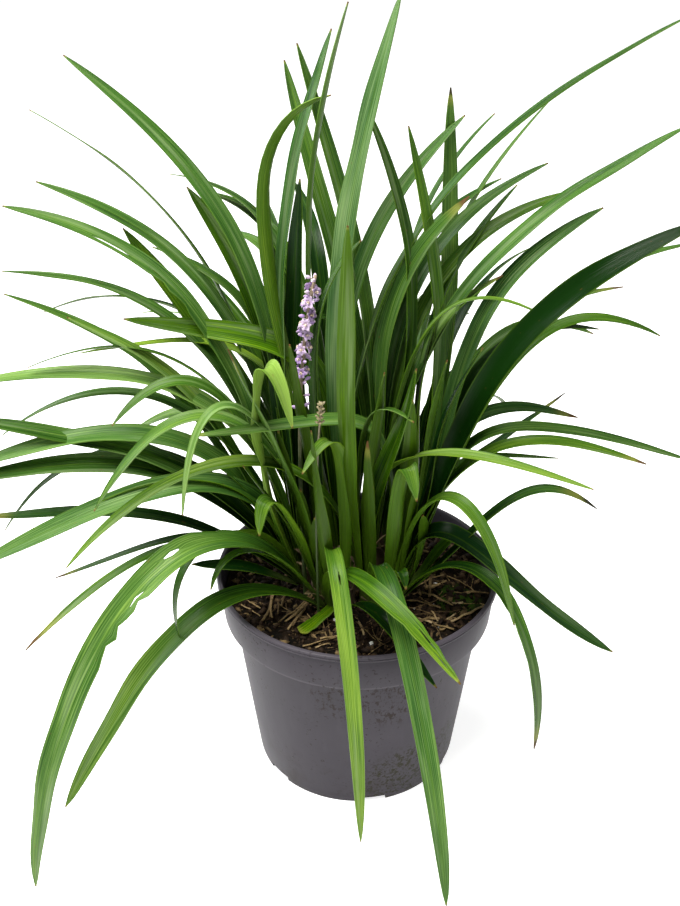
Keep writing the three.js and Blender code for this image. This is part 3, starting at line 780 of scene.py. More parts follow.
# Each leaf: crown, heading, lean, length, tip x, tip y, tip z, dip, width, turn, tone (0 deep to 1 bright)
leafRows = {
    "upperLeft": [
        [4, 175, 4, 375, -152, 40, 426, -32, 9, -35, 0.5],
        [5, 165, 18, 330, -178, 60, 393, -25, 7, 15, 0.35],
        [5, 175, 16, 305, -172, 30, 363, -18, 9, -25, 0.5],
        [4, 180, 12, 305, -183, 0, 360, -12, 10, -25, 0.55],
        [4, 170, 10, 310, -203, 50, 304, 6, 11, 0, 0.45],
        [4, 150, 8, 255, -92, 30, 360, -50, 13, -50, 0.45],
        [5, 170, 20, 250, -128, 30, 337, -55, 13, -45, 0.5],
        [5, 150, 14, 215, -106, 80, 303, -30, 9, -30, 0.45],
        [5, 130, 2, 250, -88, 90, 337, 5, 9, -20, 0.45],
        [5, 120, 8, 230, -76, 110, 306, 10, 9, -20, 0.5],
    ],
    "upperCentre": [
        [0, 180, 6, 220, -15, 4, 415, -12, 10, -45, 0.55],
        [0, 0, 2, 305, -40, 60, 419, -70, 10, -45, 0.55],
        [0, 0, 3, 320, -32, 30, 434, -70, 9, -45, 0.5],
        [4, 180, 4, 330, -15, 30, 441, -62, 10, 10, 0.45],
        [0, 180, 6, 340, -7, -10, 461, -70, 6, 0, 0.5],
        [0, 180, 3, 355, 17, -20, 467, -72, 13, 65, 0.64],
        [4, 180, 3, 260, -31, 0, 374, -85, 12, 60, 0.2],
        [0, 0, 7, 300, 1, 0, 413, -65, 8, -45, 0.4],
        [6, 0, 14, 300, 46, 30, 412, -88, 10, -60, 0.55],
        [1, 0, 9, 285, 24, 10, 398, -75, 8, -45, 0.5],
        [0, 180, 2, 290, 54, 30, 398, -38, 9, 40, 0.5],
        [6, 40, 10, 285, 71, 45, 395, -45, 6, 0, 0.45],
        [2, 215, 8, 260, -7, -62, 372, -88, 10, 0, 0.5],
    ],
    "upperRight": [
        [0, 180, 2, 400, 162, 30, 447, -25, 9, 0, 0.4],
        [6, 40, 8, 300, 102, 60, 398, -45, 6, -20, 0.5],
        [0, 20, 3, 280, 99, 30, 373, -20, 9, 15, 0.5],
        [0, 30, 0, 270, 79, 60, 355, -8, 8, 0, 0.5],
        [0, 0, 4, 255, 55, 0, 365, -45, 11, 45, 0.55],
        [0, 10, 2, 285, 120, 40, 355, -6, 8, 30, 0.55],
        [0, 0, 3, 340, 161, 0, 401, -30, 10, 15, 0.5],
        [1, 0, 13, 265, 124, 0, 359, -30, 11, 40, 0.5],
        [2, -10, 14, 300, 165, -30, 362, -26, 15, 45, 0.02],
        [1, 10, 12, 285, 195, 60, 318, 0, 10, -15, 0.5],
        [1, 0, 16, 245, 163, 0, 287, 30, 8, 20, 0.45],
        [0, -10, 4, 235, 95, -20, 308, 25, 8, 0, 0.6],
        [1, 10, 16, 230, 147, 30, 303, 0, 9, 0, 0.5],
        [1, 0, 8, 215, 75, 0, 322, -30, 8, 20, 0.7],
        [1, 0, 2, 265, 85, 40, 358, -33, 7, 0, 0.35],
    ],
    "right": [
        [1, 10, 4, 215, 130, 30, 220, 25, 9, 10, 0.45],
        [6, 20, 25, 160, 125, 50, 226, -40, 9, -15, 0.4],
        [1, 0, 5, 275, 190, 0, 209, 18, 10, 0, 0.55],
        [2, -10, 10, 235, 157, -30, 224, 22, 9, 0, 0.55],
        [6, 10, 20, 175, 121, 30, 192, 5, 8, 0, 0.55],
        [0, 262, 10, 258, 120, -70, 233, 12, 8, 10, 0.7],
        [2, -10, 40, 165, 133, -30, 195, 40, 9, 0, 0.4],
        [2, -20, 8, 240, 145, -60, 117, 25, 13, 12, 0.3],
        [2, -30, 26, 230, 100, -90, 71, 95, 9, 0, 0.5],
        [2, -40, 6, 252, 84, -80, 152, 75, 9, 10, 0.6],
        [2, 200, 3, 190, 27, -60, 297, -78, 11, 55, 0.4],
        [2, 200, 4, 160, 27, -60, 267, 10, 6, 0, 0.5],
        [2, -70, 12, 150, 30, -60, 219, 70, 11, 15, 0.6],
        [1, -40, 40, 62, 59, -15, 169, -35, 8, 30, 0.65],
    ],
    "front": [
        [3, 255, 11, 304, 1, -130, 40, 88, 9, 0, 0.72],
        [2, 252, 10, 272, 47, -158, 22, 80, 11, 0, 0.58],
        [3, 250, 22, 180, 51, -126, 151, 38, 10, 10, 0.62],
        [3, 290, 38, 115, 42, -97, 123, 35, 9, 0, 0.2],
        [2, 285, 20, 70, 26, -60, 161, 75, 7, 0, 0.5],
    ],
    "left": [
        [3, 215, 42, 225, -161, -125, 62, 55, 13, -10, 0.6],
        [3, 215, 24, 375, -178, -145, 22, 84, 15, -20, 0.6],
        [4, 190, 35, 185, -190, -60, 118, 40, 7, 0, 0.55],
        [4, 215, 18, 200, -98, -80, 142, 105, 8, 30, 0.4],
        [2, 190, 3, 280, -160, -60, 176, 50, 9, -10, 0.62],
        [4, 190, 8, 255, -218, -45, 165, 22, 13, -35, 0.6],
        [4, 185, 45, 200, -215, -15, 180, 0, 10, 0, 0.38],
        [4, 180, 40, 165, -184, 0, 125, 20, 8, 0, 0.45],
        [3, 200, 4, 290, -141, -60, 213, 60, 9, -10, 0.55],
        [3, 200, 6, 300, -92, -75, 220, 84, 6, -20, 0.7],
        [4, 180, 12, 270, -206, 10, 219, 40, 10, 0, 0.5],
        [4, 180, 4, 290, -222, 0, 257, 12, 12, -15, 0.7],
        [4, 170, 28, 270, -195, 20, 303, -18, 9, -5, 0.5],
        [4, 180, 22, 235, -157, 0, 298, -25, 9, -20, 0.65],
        [5, 180, 5, 300, -157, 20, 267, 12, 8, 0, 0.75],
        [0, 180, 3, 340, -127, 0, 297, -8, 14, -60, 0.5],
        [4, 175, 8, 260, -182, 0, 268, 25, 6, 20, 0.45],
        [3, 200, 1, 270, -1, -60, 364, -40, 10, 45, 0.4],
        [4, 215, 25, 247, -34, -70, 269, 75, 15, 0, 0.85],
        [4, 180, 14, 260, -222, -20, 214, 20, 12, -25, 0.6],
        [3, 200, 10, 140, -54, -60, 197, 88, 11, 0, 0.7],
        [4, 215, 25, 95, -82, -60, 161, 70, 5, 0, 0.6],
        [4, 190, 8, 225, -133, -30, 248, 50, 8, -20, 0.5],
        [4, 185, 28, 240, -222, -20, 208, 8, 14, -30, 0.4],
        [4, 185, 26, 245, -222, -15, 246, -16, 12, -30, 0.45],
        [4, 180, 22, 260, -210, 0, 160, 58, 6, 0, 0.3],
        [4, 190, 15, 250, -203, -30, 165, 28, 8, 20, 0.6],
        [4, 200, 55, 90, -98, -15, 146, 0, 9, 0, 0.15],
        [2, 0, 0, 310, -87, -60, 259, -5, 9, -20, 0.6],
        [3, 292, 5, 162, -30, -68, 241, 40, 8, 0, 0.65],
    ],
    "middle": [
        [3, 200, 2, 210, -36, -38, 300, -80, 9, 10, 0.25],
        [3, 225, 8, 200, -66, -52, 304, -70, 10, -20, 0.5],
        [3, 200, 4, 90, -24, -40, 196, -85, 9, 0, 0.2],
        [3, 180, 6, 110, -32, -38, 213, -80, 9, 0, 0.3],
        [2, 250, 3, 140, 4, -48, 249, -85, 6, 0, 0.3],
        [2, 0, 4, 190, 27, -42, 270, -78, 10, 30, 0.4],
        [2, -20, 10, 230, 44, -40, 292, -68, 10, 30, 0.35],
        [2, -10, 14, 240, 62, -38, 298, -60, 10, 40, 0.2],
        [2, -30, 10, 110, 31, -48, 225, -62, 9, 20, 0.35],
        [2, -20, 28, 75, 35, -38, 196, -50, 7, 20, 0.55],
        [3, 190, 8, 170, -43, -42, 252, -75, 9, -10, 0.2],
        [3, 200, 14, 150, -62, -45, 232, -60, 9, -20, 0.35],
        [2, 235, 3, 190, 12, -42, 286, -80, 8, 10, 0.35],
        [3, 262, 25, 150, -25, -60, 262, -85, 9, 0, 0.3],
    ],
}

# Torn and chewed leaves: group, number, then bites as [centimetres from the tip, side, depth]
bites = {
    ("front", 2): [[1.2, 1, 0.5], [2.6, 1, 0.35], [4.2, -1, 0.3]],
    ("front", 3): [[0.6, 1, 0.6], [2.0, 1, 0.3]],
    ("left", 1): [[15.5, 1, 0.45], [17.0, 1, 0.6], [18.4, 1, 0.4], [24.0, -1, 0.3]],
    ("left", 2): [[0.5, 1, 0.7], [1.8, -1, 0.5]],
    ("right", 1): [[0.2, 1, 0.8], [0.9, -1, 0.6], [1.9, 1, 0.4]],
    ("right", 8): [[9.0, -1, 0.35], [10.2, -1, 0.4], [6.0, -1, 0.25]],
    ("upperLeft", 3): [[9.0, 1, 0.4], [10.5, 1, 0.5]],
}

# Holes and slits: group, number, then [centimetres from the tip, column, rows long]
slits = {
    ("front", 0): [[17.5, 4, 2]],
    ("front", 2): [[2.0, 3, 2], [3.3, 5, 2], [4.6, 2, 1]],
    ("left", 1): [[19.5, 5, 2], [24.0, 2, 2]],
    ("upperLeft", 3): [[8.0, 5, 4], [10.4, 4, 2]],
}

# Withered tips: group, number, then how many centimetres are dry and how dark they are
driedTips = {
    ("right", 6): [1.3, 1.0],
    ("right", 1): [1.0, 0.9],
    ("right", 8): [0.9, 0.5],
    ("front", 2): [0.2, 0.2],
    ("left", 2): [1.6, 0.3],
    ("upperCentre", 8): [0.5, 0.9],
    ("left", 7): [0.9, 0.4],
}

# Leaves whose painted bluish sky reflection is listed: group, then number and how strong it is
skyReflectionLeaves = {
    "upperLeft": {0: 0.5, 1: 0.3, 2: 0.5, 3: 0.5, 4: 0.4, 5: 0.1, 6: 0.1, 7: 0.2, 8: 0.3},
    "upperCentre": {3: 0.8, 4: 0.6, 5: 0.9, 6: 0.2, 8: 0.4, 10: 0.7, 11: 0.6, 12: 0.0},
    "upperRight": {0: 0.6, 2: 0.7, 3: 0.7, 4: 0.5, 6: 0.6, 7: 0.7, 8: 0.1},
    "right": {0: 0.8, 1: 0.8, 2: 0.5, 3: 0.2, 6: 0.6, 7: 0.7, 8: 0.4, 9: 0.3, 10: 0.0},
    "middle": {0: 0.1, 5: 0.0, 8: 0.1, 11: 0.0, 12: 0.1, 13: 0.1},
    "front": {0: 0.3, 1: 0.6, 2: 0.15},
    "left": {
        0: 0.4, 1: 0.5, 2: 0.2, 4: 0.1, 5: 0.7, 6: 0.8, 7: 0.8, 9: 0.6, 10: 0.6, 11: 0.6,
        12: 0.4, 15: 0.0, 18: 0.4, 19: 0.6,
    },
}

# Leaves of the back and the middle, drawn by a seeded rule
fillSizes = {
    "seed": 20,
    "turn": 30,
    # heading from, heading to, count, reach, tip height
    "sectors": [
        [15, 165, 9, 140, 310],
        [20, 160, 7, 185, 230],
        [30, 150, 4, 190, 156],
        [60, 200, 2, 50, 320],
    ],
    # each of these: least and spread
    "reach": (0.8, 0.35),
    "height": (0.85, 0.3),
    "slack": (1.02, 0.1),
    "width": (8, 4),
}


def outermostCrown(heading, place):
    angle = math.radians(heading)
    reach = [crown[0] * math.cos(angle) + crown[1] * math.sin(angle) for crown in crowns]
    order = sorted(range(len(crowns)), key=lambda index: -reach[index])
    return order[place]


def fillRows():
    fill = fillSizes
    draw = seededRandom(fill["seed"])
    rows = []
    for low, high, count, reach, height in fill["sectors"]:
        for i in range(count):
            heading = nearest(low + (high - low) * (i + draw()) / count)
            distance = reach * drawn(draw, *fill["reach"])
            tipZ = nearest(height * drawn(draw, *fill["height"]))
            crown = outermostCrown(heading, 0 if draw() < 0.5 else 1)
            tipX = nearest(distance * math.cos(math.radians(heading)))
            tipY = nearest(distance * math.sin(math.radians(heading)))
            chord = math.hypot(distance, tipZ - soilSizes["level"])
            length = nearest(chord * drawn(draw, *fill["slack"]) + 10)
            dip = nearest(55 - 0.3 * (tipZ - soilSizes["level"]) + 20 * draw())
            width = nearest(drawn(draw, *fill["width"]))
            lean = 6 + nearest(8 * draw())
            turn = nearest(fill["turn"] * (2 * draw() - 1))
            tone = 0.22 + 0.08 * (len(rows) % 5)
            rows.append([crown, heading, lean, length, tipX, tipY, tipZ, dip, width, turn, tone])
    return rows


def leafSpine(row):
    crown, heading, lean, length, tipX, tipY, tipZ, dip = row[:8]
    out = aimed(math.radians(heading))
    depth = soilSizes["level"] - leafSizes["rootDepth"]
    root = Vector((*crowns[crown], depth)) + leafSizes["rootSpread"] * out
    tip = Vector((tipX, tipY, tipZ))
    rise = math.sin(math.radians(lean)) * out + Vector((0, 0, math.cos(math.radians(lean))))
    firstBend = root + leafSizes["riseShare"] * length * rise
    fall = (tip - firstBend) * Vector((1, 1, 0))
    fall.normalize()
    across = Vector((-fall.y, fall.x, 0))
    fall = math.cos(math.radians(dip)) * fall - Vector((0, 0, math.sin(math.radians(dip))))
    lastBend = tip - leafSizes["fallShare"] * length * fall
    rootAcross = Vector((-out.y, out.x, 0))
    if rootAcross.dot(across) < 0:
        rootAcross.negate()
    return (root, firstBend, lastBend, tip), rootAcross, across


def widthShare(along):
    sizes = leafSizes
    swell = smoothStep(0, sizes["fullWidthFrom"], along)
    swell = sizes["rootWidthShare"] + (1 - sizes["rootWidthShare"]) * swell
    return swell * (1 - along ** sizes["taperPower"]) ** sizes["tipRounding"]


def leafFinish():
    # attributes: tone, chance, under (1 below), fromRoot and fromTip in centimetres,
    # dry (centimetres of withered tip), char (how dark it is) and how strong the painted
    # bluish reflection of the sky is on the green; UV: across and along
    sizes = leafSizes
    finish = Finish("leafBlade")
    names = ("tone", "chance", "under", "cool", "char", "fromRoot", "fromTip", "dry")
    tone, chance, under, cool, char, fromRoot, fromTip, dryReach = map(finish.attribute, names)
    uv = finish.coordinates("UV")
    across = finish.axis(uv, "X")
    offset = finish.node("CombineXYZ", inputs={0: 0.0, 1: chance * 40, 2: chance * 17})
    place = finish.node("VectorMath", {"operation": "ADD"}, {0: uv, 1: offset})
    drift = finish.noise(place, (1.2, 0.16, 1), 3, 0.55)
    streak = finish.noise(place, (26, 0.20, 1), 2, 0.5)
    wobble = finish.noise(place, (3, 0.5, 1), 2, 0.5)
    fine = finish.noise(place, (75, 0.12, 1), 2, 0.5)
    # veins, the middle line and the rim run along the blade
    veinPhase = (across + (wobble - 0.5) * 0.03) * (2 * math.pi * sizes["veins"])
    vein = (finish.node("Math", {"operation": "SINE"}, {0: veinPhase}) * 0.5 + 0.5) ** 2.5
    edge = finish.node("Math", {"operation": "ABSOLUTE"}, {0: across - 0.5})
    middle = 1 - finish.span(edge, 0.0, 0.06)
    rim = finish.span(edge, 0.44, 0.5)
    shaded = 1 - finish.span(fromRoot, 3.0, 15.0)
    base = 1 - finish.span(fromRoot + (drift - 0.5) * 2, 0.6, 3.0)
    ribbed = (drift - 0.5) * 0.6 + (streak - 0.5) * 0.8 + (fine - 0.5) * 0.6 - vein * 0.1
    depth = tone * 1.6 - 0.36 + ribbed * 1.3 - shaded * 0.4
    green, skyReflectionGreen = (
        finish.ramp(depth, (0.0, 0.5, 1.0), sizes[name]) for name in ("greens", "skyReflectionGreens")
    )
    # painted sheen: fine pale streaks and a soft pale band of reflected light on the outer half of the lit
    # blades
    lit = finish.span(tone, 0.1, 0.5) * finish.span(fromRoot, 7.0, 17.0)
    sheenStreaks = finish.patches(place, (48, 0.07, 1), 2, 0.5, 0.55, 0.66) * lit
    sheen = finish.patches(place, (2.6, 0.11, 1), 2, 0.5, 0.50, 0.68) * lit
    # withered tips, and a few specks on some of the blades
    reach = dryReach + (streak - 0.5) * 0.9 * dryReach
    dry = 1 - finish.span(fromTip, reach * 0.55, reach + 0.03)
    halo = 1 - finish.span(fromTip, reach, reach * 2.2 + 0.05)
    freckles = finish.patches(place, (9, 2.4, 1), 2, 0.5, 0.70, 0.77)
    colour = finish.lay(
        green,
        # painted reflection of the sky: a bluish green, weaker towards the root
        (cool * (1 - shaded * 0.6), skyReflectionGreen),
        (middle * finish.span(tone, 0.05, 0.4) * 0.28, sizes["under"]),
        (rim * 0.3, sizes["under"]),
        (under * 0.35, sizes["under"]),
        (base * 0.35, sizes["sheath"]),
        (sheenStreaks * (cool * 0.42 + 0.06), sizes["sheenStreak"]),
        (sheen * 0.22, sizes["sheen"]),
        (dry * 0.92, finish.mix(char, sizes["brown"], sizes["black"])),
        ((halo - dry) * 0.4, sizes["halo"]),
        (freckles * 0.45, sizes["brown"]),
    )
    gloss = 0.24 + under * 0.12 + (drift - 0.5) * 0.16 - vein * 0.05 + dry * 0.3
    relief = vein * 0.5 + streak * 0.8 + middle * 0.6
    finish.letThrough(sizes["lightThrough"], finish.mix(0.45, colour, sizes["greens"][2]))
    return finish.cover(colour, gloss, relief, 0.4, 0.0003, IOR=1.45, Specular_IOR_Level=sizes["shine"])


def biteShare(distance, side, cuts):
    # how much of the half blade is left where it is chewed
    left = 1
    for centre, cutSide, depth in cuts:
        away = abs(distance - 10 * centre) / leafSizes["biteReach"]
        if side == cutSide and away < 1:
            ragged = 0.75 + 0.25 * math.sin(3.1 * distance)
            left = min(left, 1 - depth * ragged * (1 - away**2))
    return left


bladeLayers = ("tone", "chance", "dry", "char", "cool", "fromRoot", "fromTip")


def bladeShape():
    shape = bmesh.new()
    shape.loops.layers.uv.new("blade")
    return shape, {name: shape.verts.layers.float.new(name) for name in (*bladeLayers, "under")}


def markVert(vert, layers, *values):
    for name, value in zip(bladeLayers, values):
        vert[layers[name]] = value


def buildBlade(shape, layers, row, twist, looks, cuts=(), holes=()):
    # looks: tone, chance, length of the dry tip in centimetres, how dark it is, how strong the painted
    # bluish sky reflection is
    sizes = leafSizes
    points, rootAcross, across = leafSpine(row)
    length, width, turn = row[3], row[8], row[9]
    rows = max(8, round(length / sizes["rowLength"]))
    columns = sizes["columns"]
    spine = []
    walked = 0
    previous = None
    for i in range(rows + 1):
        along = i / rows
        place, tangent = bezier(points, along)
        if previous is not None:
            walked += (place - previous).length
        previous = place
        flat = rootAcross.lerp(across, along)
        flat = (flat - flat.dot(tangent) * tangent).normalized()
        turned = turn * smoothStep(0, sizes["turnedBy"], along) + twist * along
        flat = Matrix.Rotation(math.radians(turned), 3, tangent) @ flat
        spine.append((place, flat, tangent.cross(flat), walked))
    grid = bmesh.ops.create_grid(shape, x_segments=columns, y_segments=rows, size=0.5, calc_uvs=True)
    uvLayer = shape.loops.layers.uv.active
    faces = {face for vert in grid["verts"] for face in vert.link_faces}
    lost = []
    pinched = {}
    for face in faces:
        for loop in face.loops:
            share = 0.5 - loop.vert.co.y
            loop[uvLayer].uv = (loop.vert.co.x + 0.5, spine[round(share * rows)][3] / 10)
        middle = face.calc_center_median()
        column = math.floor((middle.x + 0.5) * columns)
        number = math.floor((0.5 - middle.y) * rows)
        for centre, holeColumn, holeRows in holes:
            first = rows - round(10 * centre / sizes["rowLength"])
            if column == holeColumn and first <= number < first + holeRows:
                lost.append(face)
                for vert in face.verts:
                    if round((0.5 - vert.co.y) * rows) in (first, first + holeRows):
                        pinched[vert] = middle.x
    phase = looks[1] * 20
    for vert in grid["verts"]:
        along = 0.5 - vert.co.y
        sideways = vert.co.x
        sideways += (pinched.get(vert, sideways) - sideways) * sizes["holePinch"]
        place, flat, normal, distance = spine[round(along * rows)]
        bladeWidth = max(width * widthShare(along), sizes["tipWidth"])
        channel = sizes["channelShare"] * bladeWidth * (1.5 - along)
        bow = (2 * sideways) ** 2
        wave = sizes["waveHeight"] * math.sin(distance / sizes["waveLength"] + phase) * abs(sideways) * 2
        swell = 0.6 + 0.4 * math.sin(distance / sizes["waveSwell"] + 2 * phase)
        wave *= smoothStep(0, 0.4, along) * swell
        if sideways < 0:
            wave *= 0.5 + math.sin(phase)
        lift = channel * (bow - 1) + wave * bladeWidth / 12
        if cuts:
            sideways *= biteShare(walked - distance, 1 if sideways > 0 else -1, cuts)
        vert.co = place + sideways * bladeWidth * flat + lift * normal
        markVert(vert, layers, *looks, distance / 10, (walked - distance) / 10)
    if lost:
        bmesh.ops.delete(shape, geom=lost, context="FACES")


def thicken(shape, layers, thickness):
    # gives the sheets their thickness and marks the side that lies below
    upper = set(shape.verts)
    bmesh.ops.solidify(shape, geom=shape.faces[:], thickness=thickness)
    for vert in shape.verts:
        vert[layers["under"]] = 0 if vert in upper else 1
    for face in shape.faces:
        sides = {vert in upper for vert in face.verts}
        if len(sides) == 2:
            for edge in face.edges:
                edge.smooth = False


def buildLeaves():
    sizes = leafSizes
    twistDraw = seededRandom(sizes["leafSeed"])
    looksDraw = seededRandom(sizes["looksSeed"])
    shape, layers = bladeShape()
    named = [((group, i), row) for group, rows in leafRows.items() for i, row in enumerate(rows)]
    for key, row in named + [(None, row) for row in fillRows()]:
        twist = sizes["twistRange"] * (2 * twistDraw() - 1)
        chance = looksDraw()
        dry = 0.8 * smoothStep(0.8, 1.0, chance) + 0.1
        dry, char = driedTips.get(key, [dry, chance * 0.3])
        # strength of the painted bluish sky reflection, unless the leaf is listed
        cool = 0.15 + 0.4 * chance
        if key:
            cool = skyReflectionLeaves[key[0]].get(key[1], cool)
        looks = (row[10], chance, dry, char, cool)
        buildBlade(shape, layers, row, twist, looks, bites.get(key, ()), slits.get(key, ()))
    thicken(shape, layers, sizes["thickness"])
    return finishPiece("leafBlades", shape, [leafFinish()], "leaves")


buildLeaves()

# ---- crowns, old sheaths and a cut leaf ----

sheathSizes = {
    "crownRadius": 12.5,
    "crownHeight": 8.5,
    "crownSink": 3.5,
    "perCrown": 10,
    "thickness": 0.4,
    # each of these: least, spread, and power that favours the low end
    "length": (16, 30, 1.6),
    "lean": (0.18, 0.5, 2),
    "width": (4, 4),
    "dip": (-50, 60),
    "twist": 30,
    "seed": 29,
    "straw": (0.230, 0.180, 0.080),
    "brown": (0.060, 0.038, 0.018),
    "green": (0.060, 0.100, 0.015),
    "cutLeaf": [[-33, -50], [-11, -28]],
    "cutLeafWidth": 8,
    "cutLeafRows": 8,
    "cutLeafColumns": 6,
    # tone, chance, length of the dry end, how dark it is, how strong the painted sky reflection is
    "cutLeafLooks": (0.68, 0.31, 0.35, 0.2, 0),
    "cutLeafFromRoot": 12,
}


def sheathFinish():
    sizes = sheathSizes
    finish = Finish("paperySheath")
    tone, fromTip = finish.attribute("tone"), finish.attribute("fromTip")
    fibre = finish.noise(finish.coordinates("UV"), (24, 0.8, 1), 3, 0.6)
    patch = finish.noise(finish.coordinates(), 130, 4, 0.6)
    young = finish.span(tone, 0.75, 0.95) * finish.span(fromTip, 0.2, 1.6)
    colour = finish.lay(
        sizes["brown"],
        (finish.span(tone + (patch - 0.5) * 0.5, 0.2, 0.8), sizes["straw"]),
        (young * 0.8, sizes["green"]),
        (finish.span(fibre, 0.5, 0.75) * 0.5, sizes["brown"]),
    )
    return finish.cover(colour, 0.62 + fibre * 0.25, fibre + patch * 0.5, 0.6, 0.0004)


def buildSheaths():
    # short dead leaf bases, papery and split, round each crown, on a low fibrous mound
    sizes = sheathSizes
    level, spread = soilSizes["level"], leafSizes["rootSpread"]
    draw = seededRandom(sizes["seed"])
    shape, layers = bladeShape()
    for i, crown in enumerate(crowns):
        for k in range(sizes["perCrown"]):
            heading = nearest(360 * (k + 0.8 * draw()) / sizes["perCrown"])
            length = drawn(draw, *sizes["length"])
            reach = spread + length * drawn(draw, *sizes["lean"])
            top = min(1.0, (reach - spread) / length)
            tipZ = level + length * math.sqrt(1 - top**2) * 0.9
            angle = math.radians(heading)
            tip = (crown[0] + reach * math.cos(angle), crown[1] + reach * math.sin(angle), tipZ)
            width = drawn(draw, *sizes["width"])
            row = [i, heading, 4, length, *tip, drawn(draw, *sizes["dip"]), width, 0]
            looks = (draw() ** 0.8, draw(), 0, 0, 0)
            cut = [[0.1, 1, 0.9 * draw()], [0.7 * draw(), -1, 0.7]]
            buildBlade(shape, layers, row, sizes["twist"] * (draw() - 0.5), looks, cut)
    thicken(shape, layers, sizes["thickness"])
    mound = bmesh.new()
    size = (sizes["crownRadius"], sizes["crownRadius"], sizes["crownHeight"])
    for x, y in crowns:
        place = placed((x, y, level - sizes["crownSink"]), size)
        bmesh.ops.create_icosphere(mound, subdivisions=4, radius=1, matrix=place)
    for vert in mound.verts:
        rough = noise.noise(vert.co * 0.35) + 0.5 * noise.noise(vert.co * Vector((1.1, 1.1, 0.25)))
        vert.co.z += 1.3 * rough
    master = meshFrom(mound, "crownMound")
    for vert in stamp(shape, master, Matrix()):
        vert[layers["tone"]] = 0.28
        vert[layers["fromTip"]] = 0.0
    discard(master)
    return finishPiece("crownSheaths", shape, [sheathFinish()])


def buildCutLeaf():
    # a blunt piece of green leaf that lies on the soil
    sizes = sheathSizes
    start, end = (Vector((*point, 0)) for point in sizes["cutLeaf"])
    length = (end - start).length
    way = (end - start) / length
    side = Vector((-way.y, way.x, 0))
    shape, layers = bladeShape()
    columns, rows = sizes["cutLeafColumns"], sizes["cutLeafRows"]
    grid = bmesh.ops.create_grid(shape, x_segments=columns, y_segments=rows, size=0.5, calc_uvs=True)
    uvLayer = shape.loops.layers.uv.active
    for face in shape.faces:
        for loop in face.loops:
            loop[uvLayer].uv = (loop.vert.co.x + 0.5, (0.5 - loop.vert.co.y) * length / 10)
    for vert in grid["verts"]:
        along = 0.5 - vert.co.y
        half = vert.co.x * sizes["cutLeafWidth"] * (1 - 0.25 * along)
        blunt = 1.6 * abs(vert.co.x) * (1 - along)
        place = start + (end - start) * along + side * half + way * blunt
        ground = crumbled(place.x, place.y) * 0.3 + soilSizes["level"] * 0.7
        place.z = ground + 2.2 + 5 * along**1.4 + 1.2 * (2 * vert.co.x) ** 2
        vert.co = place
        fromTip = 0.4 + along * length / 10
        markVert(vert, layers, *sizes["cutLeafLooks"], sizes["cutLeafFromRoot"], fromTip)
    bmesh.ops.recalc_face_normals(shape, faces=shape.faces)
    thicken(shape, layers, leafSizes["thickness"])
    return finishPiece("cutLeaf", shape, [leafFinish()])


buildSheaths()
buildCutLeaf()

# ---- flower spikes ----

spikeSizes = {
    "main": [(-31, -15, 115), (-32, -20, 190), (-37, -22, 270), (-23, -20, 330)],
    "young": [(-23, -33, 115), (-24, -42, 190), (-24, -49, 230), (-20, -48, 272)],
    "mainRadius": 1.25,
    "mainTaper": 0.35,
    "youngRadius": 0.75,
    "youngTaper": 0.3,
    "stalkRows": 40,
    "stalkSides": 12,
    "whorlTurn": 2.4,
    "floretFrom": 0.62,
    "floretWhorls": 12,
    "closedWhorls": 3,
    "perWhorl": 4,
    "budFrom": 0.90,
    "budWhorls": 5,
    "lastWhorl": 0.985,
    "openShare": 0.74,
    "paleFrom": 0.93,
    "petals": 6,
    "petalLength": 3.5,
    # each of these: least and spread
    "tilt": (12, 22),
    "youngTilt": (25, 20),
    "pedicel": (1.6, 1.0),
    "petalSize": (0.85, 0.25),
    "budLength": (3.0, 0.8),
    "seed": 41,
    "lilac": (0.470, 0.310, 0.620),
    "pale": (0.800, 0.690, 0.780),
    "cream": (0.830, 0.740, 0.640),
    "anther": (0.480, 0.330, 0.150),
    "stem": (0.035, 0.070, 0.012),
    "stemTop": (0.260, 0.200, 0.130),
    "bud": (0.130, 0.115, 0.045),
    "budTop": (0.300, 0.250, 0.140),
    "furrow": (0.080, 0.060, 0.030),
    "lightThrough": 0.25,
}


def petalFinish():
    # attribute share: 0 at a petal's root, 1 at its tip; attribute chance differs by floret
    sizes = spikeSizes
    finish = Finish("lilacPetal")
    share, chance = finish.attribute("share"), finish.attribute("chance")
    cloud = finish.noise(finish.coordinates(), 900, 3, 0.6)
    vein = finish.noise(finish.coordinates(), 2600, 2, 0.5)
    colour = finish.lay(
        sizes["lilac"],
        (finish.span(chance + (cloud - 0.5) * 0.4, 0.0, 1.2) * 0.6, sizes["pale"]),
        (finish.span(share + (cloud - 0.5) * 0.5, 0.72, 1.05) * 0.7, sizes["cream"]),
        ((1 - finish.span(share, 0.0, 0.3)) * 0.4, sizes["pale"]),
    )
    finish.letThrough(sizes["lightThrough"], colour)
    return finish.cover(colour, 0.5 + vein * 0.2, vein, 0.3, 0.0001)


def plainFinish(name, first, second, scale, roughness):
    # two close colours in soft patches
    finish = Finish(name)
    cloud = finish.noise(finish.coordinates(), scale, 4, 0.6)
    colour = finish.mix(finish.span(cloud, 0.3, 0.7), first, second)
    return finish.cover(colour, roughness + cloud * 0.2, cloud, 0.4, 0.0002)


def stalkFinish():
    # green below, brownish among the flowers
    sizes = spikeSizes
    finish = Finish("flowerStalk")
    place = finish.coordinates()
    ribs = finish.noise(place, (2400, 2400, 60), 3, 0.5)
    patch = finish.noise(place, 260, 3, 0.6)
    rise = finish.span(finish.axis(place, "Z") + (patch - 0.5) * 0.05, 0.20, 0.29)
    furrows = finish.span(ribs, 0.45, 0.7) * 0.35
    colour = finish.lay(sizes["stem"], (rise, sizes["stemTop"]), (furrows, sizes["furrow"]))
    return finish.cover(colour, 0.42 + ribs * 0.2, ribs, 0.4, 0.0002)


